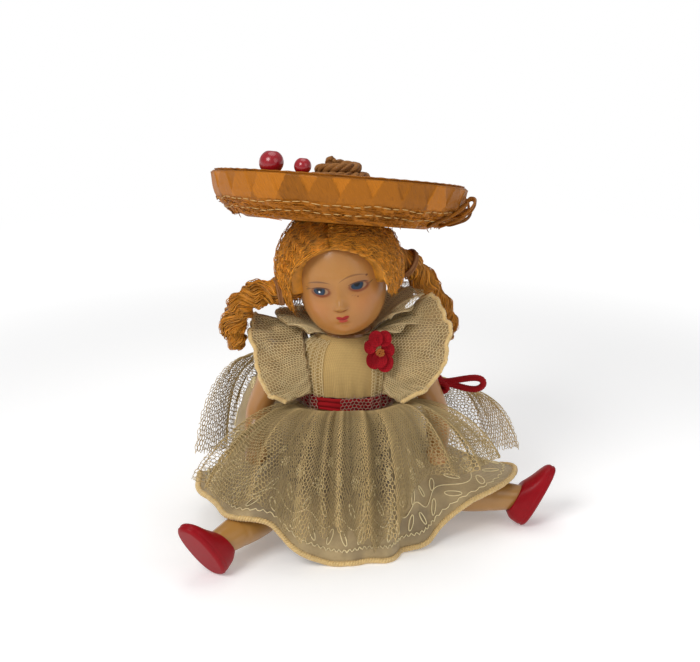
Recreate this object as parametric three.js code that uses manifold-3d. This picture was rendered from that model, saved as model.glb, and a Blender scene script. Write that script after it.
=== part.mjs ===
// A seated celluloid doll: hollow jointed shells strung on elastic.
// It is dressed in organza and net, and wears a straw hat.
// Millimetres, +Z up. The doll faces -Y, so its left side is +X.
// The origin is the floor point in the middle of its seat.

import * as THREE from "three";
import { mergeVertices } from "three/addons/utils/BufferGeometryUtils.js";
import Module from "manifold-3d";

const wasm = await Module();
wasm.setup();

// Shared fits
const CLEARANCE = 0.3;
const WALL = 0.9;
const CLOTH = 0.5;
const CUTTING_SPACE = 400;

// Torso
const TORSO_HEIGHT = 58;
const SEAT_HALF_WIDTH = 9.5;
const SEAT_HALF_DEPTH = 8.5;
const HIP_LEVEL = 12;
const HIP_HALF_WIDTH = 13.2;
const HIP_HALF_DEPTH = 11;
const BODICE_LENGTH = 20;
const WAIST_LEVEL = TORSO_HEIGHT - BODICE_LENGTH;
const WAIST_HALF_WIDTH = 11.2;
const WAIST_HALF_DEPTH = 9.2;
const CHEST_BELOW_NECK = 9;
const CHEST_LEVEL = TORSO_HEIGHT - CHEST_BELOW_NECK;
const CHEST_HALF_WIDTH = 12.5;
const CHEST_HALF_DEPTH = 9.4;
const COLLARBONE_BELOW_NECK = 3;
const COLLARBONE_LEVEL = TORSO_HEIGHT - COLLARBONE_BELOW_NECK;
const COLLARBONE_HALF_WIDTH = 10.8;
const COLLARBONE_HALF_DEPTH = 8;
const NECK_SEAT_RADIUS = 6.5;
const TORSO_SEAM_Y = 2;

// Arms
const SHOULDER_BELOW_NECK = 7;
const SHOULDER_LEVEL = TORSO_HEIGHT - SHOULDER_BELOW_NECK;
const SHOULDER_FLAT_X = 12.2;
const UPPER_ARM_RADIUS = 4.1;
const FOREARM_RADIUS = 3.3;
const HAND_RADIUS = 2.7;
const ELBOW_OUT = 25;
const ELBOW_SHARE = 0.608;
const ELBOW_LEVEL = SHOULDER_LEVEL * ELBOW_SHARE;
const HAND_FORWARD = 8;
const HAND_SHARE = 0.461;
const HAND_LEVEL = SHOULDER_LEVEL * HAND_SHARE;

// Legs
const HIP_JOINT_X = 11.5;
const HIP_JOINT_Y = -1.6;
const HIP_JOINT_LEVEL = 10.6;
const THIGH_RADIUS = 6;
const KNEE_RADIUS = 4.9;
const ANKLE_RADIUS = 3.6;
const LEG_LENGTH = 35.2;
const LEG_OPEN_END = 2.5;
const RIGHT_LEG_SPLAY = 39;
const LEFT_LEG_SPLAY = 91;
const STEEPEST_DROP = 14;
const RIGHT_TOE_ROLL = 13;
const LEFT_TOE_ROLL = 14;
const TOE_POINT = 26;
const PIN_RADIUS = 0.55;
const LEG_ELASTIC_RISE = 9.4;

// Shoes
const SHOE_LENGTH = 19;
const SHOE_HALF_WIDTH = 4.9;
const SHOE_HEIGHT = 6.2;
const SHOE_HEEL = 6;
const SOLE_BELOW_ANKLE = 6.4;

// Elastic
const ELASTIC_RADIUS = 0.6;
const KNOT_RADIUS = 1.8;
const ELASTIC_HOLE_RADIUS = ELASTIC_RADIUS + CLEARANCE + 0.1;

// Head
const HEAD_ABOVE_NECK = 17.3;
const HEAD_CENTRE = [-1.8, -3.4, TORSO_HEIGHT + HEAD_ABOVE_NECK];
const HEAD_YAW = -4;
const HEAD_ROLL = -10;
const HEAD_PITCH = 4;
const HEAD_HALF_WIDTH = 11.8;
const FACE_DEPTH = 12.4;
const NAPE_DEPTH = 13.2;
const HEAD_HALF_HEIGHT = 15.4;
const CHIN_FORWARD = 4;
const JAW_FULLNESS = 2.6;
const HEAD_SEAM_Y = 1;
const NECK_RADIUS = 5;

// Wig and pigtails
const WIG_HALF_WIDTH = 16.4;
const WIG_FRONT = 14.6;
const WIG_BACK = 16.6;
const WIG_HALF_HEIGHT = 17.2;
const WIG_NAPE = -11;
const WIG_EDGE_RISE = 20;
const FRINGE_LEVEL = 10.8;
const FACE_OPENING_HALF_WIDTH = 12.6;
const FACE_OPENING_BACK = -4;
const TIE_RADIUS = 0.45;

// Hat
const HAT_ABOVE_HEAD = 11.9;
const HAT_CENTRE = [-2.8, 0.5, HEAD_CENTRE[2] + HAT_ABOVE_HEAD];
const HAT_TILT_BACK = -16;
const HAT_ROLL = 4.4;
const STRAW = 0.9;
const CROWN_RADIUS = 12.9;
const CROWN_HEIGHT = 9.5;
const RIM_FOOT_RADIUS = 26.5;
const BRIM_TURN = 2.5;
const BRIM_FLAT_RADIUS = RIM_FOOT_RADIUS - BRIM_TURN;
const RIM_FOOT_LEVEL = 1.2;
const RIM_TOP_RADIUS = 33.2;
const RIM_TOP_LEVEL = 12;
const RIM_BULGE = 0.5;
const ROPE_RADIUS = 1.35;
const ROPE_LOOPS = 2;
const ROPE_OUTER_RADIUS = 8;
const ROPE_INNER_RADIUS = 3.4;
const ROPE_RISE = 4.8;
const LARGE_BERRY_RADIUS = 3.1;
const LARGE_BERRY_X = -17.6;
const SMALL_BERRY_RADIUS = 2.15;
const SMALL_BERRY_X = -9.7;
const STEM_RADIUS = 0.4;

// Dress
const NECKLINE_BELOW_NECK = 2.6;
const BODICE_TOP = TORSO_HEIGHT - NECKLINE_BELOW_NECK;
const SASH_HEIGHT = 3.4;
const SASH_THICKNESS = 0.8;
const ARMHOLE_RADIUS = 5.7;
const PLASTRON_HALF_ANGLE = 42;
const SKIRT_OFF_WAIST = 1.7;
const SKIRT_TOP_RADIUS = WAIST_HALF_WIDTH + SKIRT_OFF_WAIST;
const SKIRT_FOLDS = 14;
const SKIRT_FOLD_DEPTH = 0.8;
const SCALLOPS = 10;
const SCALLOP_DEPTH = 1.6;
const NET_OFF_SKIRT = 1;
const NET_TOP_RADIUS = SKIRT_TOP_RADIUS + NET_OFF_SKIRT;
const NET_FRONT_RIGHT = -76;
const NET_FRONT_LEFT = 76;
const NET_OPENINGS_ACROSS = 12;
const NET_OPENINGS_DOWN = 5;
const NET_BAR_SHARE = 0.34;
const NET_BACK_LEFT = 110;
const NET_BACK_RIGHT = 252;
const FRILL_RIPPLE = 0.9;
const FRILL_RIPPLES = 6;

// Bow and corsage
const BOW_ABOVE_WAIST = 2.6;
const BOW_CENTRE = [13.2, 8, WAIST_LEVEL + BOW_ABOVE_WAIST];
const BOW_RIBBON_WIDTH = 4.6;
const BOW_RIBBON = 0.5;
const LEFT_LOOP_LENGTH = 26;
const LEFT_LOOP_DIP = 7.5;
const LEFT_LOOP_TURN = -3;
const RIGHT_LOOP_LENGTH = 19;
const RIGHT_LOOP_DIP = -8;
const RIGHT_LOOP_TURN = 140;
const LOOP_HALF_HEIGHT = 1.9;
const KNOT_HALF_WIDTH = 2;
const FLOWER_ABOVE_NECKLINE = 0.6;
const FLOWER_CENTRE = [8.7, -10.6, BODICE_TOP + FLOWER_ABOVE_NECKLINE];
const PETALS = 5;
const PETAL_REACH = 3.5;
const PETAL_RADIUS = 2.3;
const FLOWER_NARROWING = 0.8;
const PETAL_THICKNESS = 0.8;
const FLOWER_EYE_RADIUS = 1.3;

// Facets
const ROUND_SIDES = 20;
const HEAD_COLUMNS = 22;
const HEAD_ROWS = 15;
const WIG_COLUMNS = 22;
const WIG_ROWS = 11;
const HAT_SIDES = 36;
const LIMB_SIDES = 10;
const CORD_SIDES = 6;

const point = (x, y, z) => new THREE.Vector3(x, y, z);
const radians = THREE.MathUtils.degToRad;
const up = point(0, 0, 1);

// A smooth value through rows of [place, value, value, ...], held level past both ends
function curveAt(rows, place, column) {
  let k = 0;
  while (k + 2 < rows.length && rows[k + 1][0] < place) k += 1;
  const [a, b] = [rows[k], rows[k + 1]];
  const before = rows[Math.max(k - 1, 0)];
  const after = rows[Math.min(k + 2, rows.length - 1)];
  const span = b[0] - a[0];
  const t = THREE.MathUtils.clamp((place - a[0]) / span, 0, 1);
  const leave = (span * (b[column] - before[column])) / (b[0] - before[0]);
  const arrive = (span * (after[column] - a[column])) / (after[0] - a[0]);
  const t2 = t * t;
  const t3 = t2 * t;
  const ends = (2 * t3 - 3 * t2 + 1) * a[column] + (3 * t2 - 2 * t3) * b[column];
  return ends + (t3 - 2 * t2 + t) * leave + (t3 - t2) * arrive;
}

// A closed surface from corners and triangles, turned so that it faces outward
function closedGeometry(corners, faces) {
  let volume = 0;
  for (const [a, b, c] of faces) {
    volume += corners[a].dot(corners[b].clone().cross(corners[c]));
  }
  const turned = faces.map(([a, b, c]) => (volume < 0 ? [a, c, b] : [a, b, c]));
  const geometry = new THREE.BufferGeometry();
  const places = corners.flatMap((corner) => corner.toArray());
  geometry.setAttribute("position", new THREE.Float32BufferAttribute(places, 3));
  geometry.setIndex(turned.flat());
  return geometry;
}

// A solid through rings of equal counts, closed by a fan at each end
function loft(rings) {
  const count = rings[0].length;
  const corners = rings.flat();
  const faces = [];
  for (let row = 0; row + 1 < rings.length; row += 1) {
    for (let k = 0; k < count; k += 1) {
      const a = row * count + k;
      const b = row * count + ((k + 1) % count);
      faces.push([a, b, b + count], [a, b + count, a + count]);
    }
  }
  for (const [row, order] of [[0, -1], [rings.length - 1, 1]]) {
    const middle = corners.length;
    const sum = rings[row].reduce((total, corner) => total.add(corner), point(0, 0, 0));
    corners.push(sum.divideScalar(count));
    for (let k = 0; k < count; k += 1) {
      const a = row * count + k;
      const b = row * count + ((k + 1) % count);
      faces.push(order > 0 ? [middle, a, b] : [middle, b, a]);
    }
  }
  return closedGeometry(corners, faces);
}

// Even places from 0 to 1
function evenPlaces(count) {
  return Array.from({ length: count + 1 }, (_, k) => k / count);
}

// Places from 0 to 1 of the edges of bars and of the openings between them
function barPlaces(openings, barShare) {
  const pitch = 1 / (openings + barShare);
  const edges = Array.from({ length: openings + 1 }, (_, k) => [k * pitch, (k + barShare) * pitch]);
  return edges.flat().map((place) => Math.min(place, 1));
}

// A cloth of even thickness about a middle surface of u and v, with grid lines at the places given.
// It is closed on itself along u where wrapped, and left open at every other cell where openwork.
function cloth(surface, acrossPlaces, downPlaces, thickness, wrapped, openwork = false) {
  const [columns, rows] = [acrossPlaces.length - 1, downPlaces.length - 1];
  const isOpen = (i, j) => openwork && i % 2 === 1 && j % 2 === 1;
  const step = 1e-3;
  const sides = [[], []];
  const across = wrapped ? columns : columns + 1;
  for (let j = 0; j <= rows; j += 1) {
    for (let i = 0; i < across; i += 1) {
      const [u, v] = [acrossPlaces[i], downPlaces[j]];
      const [u0, u1] = wrapped ? [u - step, u + step] : [Math.max(u - step, 0), Math.min(u + step, 1)];
      const alongU = surface(u1, v).sub(surface(u0, v));
      const alongV = surface(u, Math.min(v + step, 1)).sub(surface(u, Math.max(v - step, 0)));
      const normal = alongU.cross(alongV).normalize();
      const middle = surface(u, v);
      sides[0].push(middle.clone().addScaledVector(normal, thickness / 2));
      sides[1].push(middle.clone().addScaledVector(normal, -thickness / 2));
    }
  }
  const corners = sides.flat();
  const far = sides[0].length;
  const faces = [];
  const quad = (a, b, c, d) => faces.push([a, b, c], [a, c, d]);
  const at = (i, j) => j * across + (i % across);
  for (let j = 0; j < rows; j += 1) {
    for (let i = 0; i < columns; i += 1) {
      const [a, b, c, d] = [at(i, j), at(i + 1, j), at(i + 1, j + 1), at(i, j + 1)];
      if (isOpen(i, j)) {
        [[a, b], [b, c], [c, d], [d, a]].forEach(([p, q]) => quad(p, q, far + q, far + p));
      } else {
        quad(a, b, c, d);
        quad(far + a, far + d, far + c, far + b);
      }
    }
  }
  for (let i = 0; i < columns; i += 1) {
    quad(at(i + 1, 0), at(i, 0), far + at(i, 0), far + at(i + 1, 0));
    quad(at(i, rows), at(i + 1, rows), far + at(i + 1, rows), far + at(i, rows));
  }
  if (!wrapped) {
    for (let j = 0; j < rows; j += 1) {
      quad(at(0, j), at(0, j + 1), far + at(0, j + 1), far + at(0, j));
      quad(at(columns, j + 1), at(columns, j), far + at(columns, j), far + at(columns, j + 1));
    }
  }
  return closedGeometry(corners, faces);
}

// A round tube through points, with one radius for each of them
function sweep(centres, radii, sides) {
  const last = centres.length - 1;
  let normal = null;
  const rings = centres.map((centre, k) => {
    const tangent = centres[Math.min(k + 1, last)].clone().sub(centres[Math.max(k - 1, 0)]).normalize();
    if (normal === null) {
      const aside = Math.abs(tangent.z) < 0.9 ? up : point(0, 1, 0);
      normal = aside.clone().cross(tangent);
    }
    normal = normal.clone().addScaledVector(tangent, -normal.dot(tangent)).normalize();
    const binormal = tangent.clone().cross(normal);
    return ring(centre, normal, binormal, radii[k], radii[k], sides);
  });
  return loft(rings);
}

function ring(centre, first, second, alongFirst, alongSecond, sides) {
  return Array.from({ length: sides }, (_, k) => {
    const angle = (2 * Math.PI * k) / sides;
    const start = centre.clone().addScaledVector(first, alongFirst * Math.cos(angle));
    return start.addScaledVector(second, alongSecond * Math.sin(angle));
  });
}

// A plain cord along hand-chosen points
function cord(points, radius) {
  const section = new THREE.Shape();
  section.absarc(0, 0, radius, 0, 2 * Math.PI);
  const path = new THREE.CatmullRomCurve3(points);
  return new THREE.ExtrudeGeometry(section, {
    steps: Math.ceil(path.getLength() / (6 * radius)),
    curveSegments: CORD_SIDES / 2,
    extrudePath: path,
  });
}

function solid(geometry) {
  const bare = geometry.clone();
  bare.deleteAttribute("normal");
  bare.deleteAttribute("uv");
  const merged = mergeVertices(bare, 1e-4);
  const corners = merged.index.array;
  const kept = [];
  for (let k = 0; k < corners.length; k += 3) {
    const [a, b, c] = [corners[k], corners[k + 1], corners[k + 2]];
    if (a !== b && b !== c && c !== a) kept.push(a, b, c);
  }
  const vertProperties = new Float32Array(merged.attributes.position.array);
  return new wasm.Manifold(new wasm.Mesh({ numProp: 3, vertProperties, triVerts: new Uint32Array(kept) }));
}

function geometryOf(body) {
  const mesh = body.getMesh();
  const geometry = new THREE.BufferGeometry();
  geometry.setAttribute("position", new THREE.BufferAttribute(mesh.vertProperties, 3));
  geometry.setIndex(new THREE.BufferAttribute(mesh.triVerts, 1));
  return geometry;
}

// All of space on one side of a plane
function halfSpace(origin, normal) {
  const box = new THREE.BoxGeometry(CUTTING_SPACE, CUTTING_SPACE, CUTTING_SPACE);
  box.translate(0, 0, CUTTING_SPACE / 2);
  box.applyQuaternion(new THREE.Quaternion().setFromUnitVectors(up, normal.clone().normalize()));
  return solid(box.translate(origin.x, origin.y, origin.z));
}

// A round rod about a line
function rod(centre, direction, radius, length, sides = ROUND_SIDES) {
  const cylinder = new THREE.CylinderGeometry(radius, radius, length, sides);
  const heading = direction.clone().normalize();
  cylinder.applyQuaternion(new THREE.Quaternion().setFromUnitVectors(point(0, 1, 0), heading));
  return cylinder.translate(centre.x, centre.y, centre.z);
}

function ball(centre, radius, sides = CORD_SIDES * 2) {
  return new THREE.SphereGeometry(radius, sides, sides / 2).translate(centre.x, centre.y, centre.z);
}

// A turned solid about the local Z axis
function turned(profile, sides) {
  const outline = profile.map(([radius, level]) => new THREE.Vector2(radius, level));
  const lathe = solid(new THREE.LatheGeometry(outline, sides).rotateX(Math.PI / 2));
  const shape = geometryOf(lathe);
  return lathe.volume() < 0 ? shape.setIndex(Array.from(shape.index.array).reverse()) : shape;
}

function addPiece(group, name, geometry, color, roughness, metalness = 0) {
  const mesh = new THREE.Mesh(geometry, new THREE.MeshStandardMaterial({ color, roughness, metalness }));
  mesh.name = name;
  group.add(mesh);
}

const CELLULOID = "#d39a6a";
const STOCKING = "#dfc090";
const RED_ENAMEL = "#b3142a";
const ELASTIC_CORD = "#d8cdb4";
const HAIR = "#ae6d2a";
const STRAW_COLOUR = "#bd8038";
const BERRY_RED = "#b00f2a";
const ORGANZA = "#b9a67f";
const NET = "#b3a182";
const RIBBON_RED = "#ad1220";
const CREAM = "#d9c79c";
const NAVY = "#26283f";

// Torso outline

const TORSO_OUTLINE = [
  [0, SEAT_HALF_WIDTH, SEAT_HALF_DEPTH],
  [1.2, SEAT_HALF_WIDTH + 1.4, SEAT_HALF_DEPTH + 1.1],
  [HIP_LEVEL, HIP_HALF_WIDTH, HIP_HALF_DEPTH],
  [WAIST_LEVEL, WAIST_HALF_WIDTH, WAIST_HALF_DEPTH],
  [CHEST_LEVEL, CHEST_HALF_WIDTH, CHEST_HALF_DEPTH],
  [COLLARBONE_LEVEL, COLLARBONE_HALF_WIDTH, COLLARBONE_HALF_DEPTH],
  [TORSO_HEIGHT, NECK_SEAT_RADIUS, NECK_SEAT_RADIUS],
];

// A point on or off the torso, at an azimuth from the front and a level, standing off by some distance
function torsoPoint(azimuth, level, standOff) {
  const halfWidth = curveAt(TORSO_OUTLINE, level, 1) + standOff;
  const halfDepth = curveAt(TORSO_OUTLINE, level, 2) + standOff;
  return point(halfWidth * Math.sin(azimuth), -halfDepth * Math.cos(azimuth), level);
}

function torsoSolid(standOff, bottom, top) {
  const rows = 11;
  const rings = Array.from({ length: rows + 1 }, (_, j) => {
    const level = THREE.MathUtils.lerp(bottom, top, j / rows);
    return Array.from({ length: ROUND_SIDES }, (_, k) => {
      return torsoPoint((2 * Math.PI * k) / ROUND_SIDES, level, standOff);
    });
  });
  return loft(rings);
}

// Legs: where each points at rest, and the axis it swings about

function legFrame(side, drop) {
  const splay = radians(side > 0 ? LEFT_LEG_SPLAY : RIGHT_LEG_SPLAY);
  const roll = radians(side > 0 ? LEFT_TOE_ROLL : RIGHT_TOE_ROLL);
  const level = point(side * Math.sin(splay), -Math.cos(splay), 0);
  const along = level.clone().multiplyScalar(Math.cos(drop)).addScaledVector(up, -Math.sin(drop));
  const axis = up.clone().cross(level);
  const outward = axis.clone().multiplyScalar(side);
  const raised = axis.clone().cross(along).multiplyScalar(-1);
  const straightToe = raised.clone().multiplyScalar(Math.cos(roll)).addScaledVector(outward, Math.sin(roll));
  const pointed = radians(TOE_POINT);
  const toe = straightToe.clone().multiplyScalar(Math.cos(pointed)).addScaledVector(along, Math.sin(pointed));
  const straightSole = along.clone().multiplyScalar(Math.cos(pointed));
  const sole = straightSole.addScaledVector(straightToe, -Math.sin(pointed));
  const joint = point(side * HIP_JOINT_X, HIP_JOINT_Y, HIP_JOINT_LEVEL);
  const ankle = joint.clone().addScaledVector(along, LEG_LENGTH);
  return { level, along, axis, toe, sole, joint, ankle };
}

const LEG_OUTLINE = [
  [-LEG_OPEN_END, Math.sqrt(THIGH_RADIUS ** 2 - LEG_OPEN_END ** 2)],
  [-LEG_OPEN_END / 2, Math.sqrt(THIGH_RADIUS ** 2 - LEG_OPEN_END ** 2 / 4)],
  [0, THIGH_RADIUS],
  [LEG_LENGTH * 0.18, THIGH_RADIUS - 0.2],
  [LEG_LENGTH * 0.45, KNEE_RADIUS],
  [LEG_LENGTH * 0.68, KNEE_RADIUS - 0.1],
  [LEG_LENGTH, ANKLE_RADIUS],
  [LEG_LENGTH + ANKLE_RADIUS, ANKLE_RADIUS - 0.6],
];

function legSolid(frame, standOff, start, end) {
  const rows = 8;
  const places = Array.from({ length: rows + 1 }, (_, j) => THREE.MathUtils.lerp(start, end, j / rows));
  const centres = places.map((place) => frame.joint.clone().addScaledVector(frame.along, place));
  const radii = places.map((place) => curveAt(LEG_OUTLINE, place, 1) + standOff);
  return sweep(centres, radii, LIMB_SIDES);
}

// The room a leg needs as it swings from its seat down to standing
function legRoom(frame, standOff) {
  const reach = THIGH_RADIUS + CLEARANCE + standOff;
  const far = 3 * LEG_LENGTH;
  const outline = new THREE.Shape();
  outline.moveTo(0, reach);
  outline.absarc(0, 0, reach, Math.PI / 2, Math.PI, false);
  outline.lineTo(-reach, -far);
  outline.lineTo(far, -far);
  outline.lineTo(far, reach);
  const filling = { depth: 2 * reach, bevelEnabled: false, curveSegments: 6 };
  const room = new THREE.ExtrudeGeometry(outline, filling);
  room.translate(0, 0, -reach);
  const placing = new THREE.Matrix4().makeBasis(frame.level, up, frame.level.clone().cross(up));
  return room.applyMatrix4(placing.setPosition(frame.joint));
}

// The outline of a shoe, as rings from the sole up to its collar
function shoeRings(frame) {
  const aside = frame.sole.clone().cross(frame.toe);
  const soleCentre = frame.ankle.clone().addScaledVector(frame.sole, SOLE_BELOW_ANKLE);
  const toeEnd = SHOE_LENGTH - SHOE_HEEL;
  const collar = ANKLE_RADIUS + 1;
  const sections = [
    [0, SHOE_HEEL - 0.5, toeEnd - 0.5, SHOE_HALF_WIDTH - 0.5],
    [0.8, SHOE_HEEL, toeEnd, SHOE_HALF_WIDTH],
    [SHOE_HEIGHT * 0.45, SHOE_HEEL, toeEnd - 0.8, SHOE_HALF_WIDTH],
    [SHOE_HEIGHT * 0.75, SHOE_HEEL - 0.3, toeEnd - 5, SHOE_HALF_WIDTH - 0.1],
    [SHOE_HEIGHT, collar, collar + 0.4, collar],
  ];
  return sections.map(([height, heel, toe, halfWidth]) => {
    const centre = soleCentre.clone().addScaledVector(frame.sole, -height);
    centre.addScaledVector(frame.toe, (toe - heel) / 2);
    return ring(centre, frame.toe, aside, (toe + heel) / 2, halfWidth, LIMB_SIDES);
  });
}

// Each leg drops until its shoe is just above the floor
function restingLeg(side) {
  let [low, high] = [0, radians(STEEPEST_DROP)];
  for (let k = 0; k < 24; k += 1) {
    const middle = (low + high) / 2;
    const lowest = Math.min(...shoeRings(legFrame(side, middle)).flat().map((corner) => corner.z));
    [low, high] = lowest > CLEARANCE ? [middle, high] : [low, middle];
  }
  return legFrame(side, low);
}

const leftLeg = restingLeg(1);
const rightLeg = restingLeg(-1);

// Stringing: one elastic through both arms, one between the hip pins and one up into the head

const shoulderLine = point(0, 0, SHOULDER_LEVEL);
const sideways = point(1, 0, 0);
const armFace = SHOULDER_FLAT_X + CLEARANCE;
const armKnotX = armFace + WALL + KNOT_RADIUS;

function armElastic() {
  const line = solid(rod(shoulderLine, sideways, ELASTIC_RADIUS, 2 * armKnotX, CORD_SIDES));
  const knots = [-1, 1].map((side) => solid(ball(point(side * armKnotX, 0, SHOULDER_LEVEL), KNOT_RADIUS)));
  return geometryOf(line.add(knots[0]).add(knots[1]));
}

const pinLoopRadius = PIN_RADIUS + CLEARANCE + ELASTIC_RADIUS;
const legElasticTop = HIP_JOINT_LEVEL + LEG_ELASTIC_RISE;

function legElasticRoute() {
  const ends = [leftLeg, rightLeg].map((frame) => {
    const inward = point(-frame.joint.x, 1 - frame.joint.y, legElasticTop - frame.joint.z).normalize();
    return frame.joint.clone().addScaledVector(inward, pinLoopRadius);
  });
  return [ends[0], point(0, 1, legElasticTop), ends[1]];
}

function legElastic() {
  const [first, top, last] = legElasticRoute();
  let body = solid(sweep([first, top, last], Array(3).fill(ELASTIC_RADIUS), CORD_SIDES));
  for (const frame of [leftLeg, rightLeg]) {
    const loop = new THREE.TorusGeometry(pinLoopRadius, ELASTIC_RADIUS, CORD_SIDES, 2 * CORD_SIDES);
    loop.applyQuaternion(new THREE.Quaternion().setFromUnitVectors(up, frame.axis));
    body = body.add(solid(loop.translate(frame.joint.x, frame.joint.y, frame.joint.z)));
  }
  return geometryOf(body);
}

const neckBottom = TORSO_HEIGHT + CLEARANCE;
const neckKnotLevel = neckBottom + WALL + KNOT_RADIUS;
const armLoopRadius = 2 * ELASTIC_RADIUS + CLEARANCE;

function neckElastic() {
  const loopEnd = SHOULDER_LEVEL + armLoopRadius;
  const middle = point(0, 0, (neckKnotLevel + loopEnd) / 2);
  const line = rod(middle, up, ELASTIC_RADIUS, neckKnotLevel - loopEnd, CORD_SIDES);
  const loop = new THREE.TorusGeometry(armLoopRadius, ELASTIC_RADIUS, CORD_SIDES, 2 * CORD_SIDES);
  loop.rotateY(Math.PI / 2).translate(0, 0, SHOULDER_LEVEL);
  const knot = solid(ball(point(0, 0, neckKnotLevel), KNOT_RADIUS));
  return geometryOf(solid(line).add(solid(loop)).add(knot));
}

// Torso shells: hollow, with hip hollows, shoulder flats and holes for the elastic

function torsoShells() {
  const rooms = [leftLeg, rightLeg].map((frame) => solid(legRoom(frame, 0)));
  const walledRooms = [leftLeg, rightLeg].map((frame) => solid(legRoom(frame, WALL)));
  const flats = [-1, 1].map((side) => halfSpace(point(side * SHOULDER_FLAT_X, 0, 0), point(side, 0, 0)));
  const walledFlats = [-1, 1].map((side) => {
    return halfSpace(point(side * (SHOULDER_FLAT_X - WALL), 0, 0), point(side, 0, 0));
  });
  const shoulders = halfSpace(point(0, 0, WAIST_LEVEL), up);
  let outer = solid(torsoSolid(0, 0, TORSO_HEIGHT));
  let inner = solid(torsoSolid(-WALL, WALL, TORSO_HEIGHT - WALL));
  for (const k of [0, 1]) {
    outer = outer.subtract(rooms[k]).subtract(flats[k].intersect(shoulders));
    inner = inner.subtract(walledRooms[k]).subtract(walledFlats[k].intersect(shoulders));
  }
  const [first, top, last] = legElasticRoute();
  const legHole = sweep([first, top, last], Array(3).fill(ELASTIC_HOLE_RADIUS), CORD_SIDES);
  const armHole = rod(shoulderLine, sideways, ELASTIC_HOLE_RADIUS, 4 * SHOULDER_FLAT_X, CORD_SIDES);
  const neckHole = rod(point(0, 0, TORSO_HEIGHT), up, ELASTIC_HOLE_RADIUS, 4 * WALL, CORD_SIDES);
  const holes = solid(legHole).add(solid(armHole)).add(solid(neckHole));
  const hollow = outer.subtract(inner).subtract(holes);
  const back = halfSpace(point(0, TORSO_SEAM_Y, 0), point(0, 1, 0));
  return { front: geometryOf(hollow.subtract(back)), back: geometryOf(hollow.intersect(back)) };
}

// Arms

function armStations(side) {
  return [
    [armFace, 0, SHOULDER_LEVEL, UPPER_ARM_RADIUS],
    [armFace + 3, 0, SHOULDER_LEVEL - 0.1, UPPER_ARM_RADIUS],
    [armFace + 6.2, 0.2, SHOULDER_LEVEL - 3.2, UPPER_ARM_RADIUS - 0.1],
    [ELBOW_OUT - 3.2, 0.6, ELBOW_LEVEL + 9.5, UPPER_ARM_RADIUS - 0.5],
    [ELBOW_OUT - 0.6, 0.7, ELBOW_LEVEL + 2.5, FOREARM_RADIUS + 0.1],
    [ELBOW_OUT, -1.6, ELBOW_LEVEL - 2.4, FOREARM_RADIUS],
    [ELBOW_OUT, -HAND_FORWARD * 0.6, HAND_LEVEL + 2.2, HAND_RADIUS],
    [ELBOW_OUT - 0.2, -HAND_FORWARD, HAND_LEVEL, HAND_RADIUS],
    [ELBOW_OUT - 0.3, -HAND_FORWARD - 2, HAND_LEVEL - 1.2, HAND_RADIUS - 1.1],
  ].map(([x, y, z, radius]) => ({ centre: point(side * x, y, z), radius }));
}

function armSolid(stations, standOff, firstTrim) {
  const path = new THREE.CatmullRomCurve3(stations.map((station) => station.centre));
  const radii = stations.map((station, k) => [k / (stations.length - 1), station.radius]);
  const rows = 10;
  const start = firstTrim / path.getLength();
  const places = Array.from({ length: rows + 1 }, (_, j) => start + (1 - start) * (j / rows));
  const centres = places.map((place) => path.getPoint(place));
  return sweep(centres, places.map((place) => curveAt(radii, place, 1) + standOff), LIMB_SIDES);
}

function armShells(side) {
  const stations = armStations(side);
  const outer = solid(armSolid(stations, 0, 0));
  const inner = solid(armSolid(stations.slice(0, -1), -WALL, WALL));
  const hole = solid(rod(stations[0].centre, sideways, ELASTIC_HOLE_RADIUS, 4 * WALL, CORD_SIDES));
  const inside = halfSpace(stations[0].centre, point(side, 0, 0));
  const hollow = outer.intersect(inside).subtract(inner).subtract(hole);
  const [shoulder, elbow, hand] = [stations[0].centre, stations[5].centre, stations[7].centre];
  const seam = elbow.clone().sub(shoulder).cross(hand.clone().sub(shoulder));
  const outward = seam.x * side > 0 ? seam : seam.multiplyScalar(-1);
  const outside = halfSpace(shoulder, outward);
  return { outer: geometryOf(hollow.intersect(outside)), inner: geometryOf(hollow.subtract(outside)) };
}

// Legs, their hip pins and shoes

function legShells(frame) {
  const outer = solid(legSolid(frame, 0, -LEG_OPEN_END, LEG_LENGTH + ANKLE_RADIUS));
  const inner = solid(legSolid(frame, -WALL, -LEG_OPEN_END - WALL, LEG_LENGTH + ANKLE_RADIUS - WALL));
  const pinHole = solid(rod(frame.joint, frame.axis, PIN_RADIUS + CLEARANCE, 4 * THIGH_RADIUS, CORD_SIDES));
  const hollow = outer.subtract(inner).subtract(pinHole);
  const half = halfSpace(frame.joint, frame.axis);
  return [geometryOf(hollow.intersect(half)), geometryOf(hollow.subtract(half))];
}

function shoe(frame) {
  const foot = legSolid(frame, CLEARANCE, 0, LEG_LENGTH + ANKLE_RADIUS + CLEARANCE);
  return geometryOf(solid(loft(shoeRings(frame))).subtract(solid(foot)));
}

function hipPin(frame) {
  return rod(frame.joint, frame.axis, PIN_RADIUS, 2 * THIGH_RADIUS - 1, CORD_SIDES);
}

// Head: soft forms pressed into an egg, given as places on the face and how far each stands out

const FACE_FORMS = [
  { x: 0, z: -4.2, wide: 1.5, tall: 1.5, push: 1.5 },
  { x: 0, z: -2, wide: 1.2, tall: 2.6, push: 0.7 },
  { x: 5.1, z: -0.6, wide: 2.4, tall: 1.6, push: -0.6 },
  { x: -5.1, z: -0.6, wide: 2.4, tall: 1.6, push: -0.6 },
  { x: 6.4, z: -5.6, wide: 3.2, tall: 3, push: 0.6 },
  { x: -6.4, z: -5.6, wide: 3.2, tall: 3, push: 0.6 },
  { x: 0, z: -8.5, wide: 2, tall: 1.3, push: 0.7 },
  { x: 0, z: -12.4, wide: 2.4, tall: 1.6, push: 0.7 },
];

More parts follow.
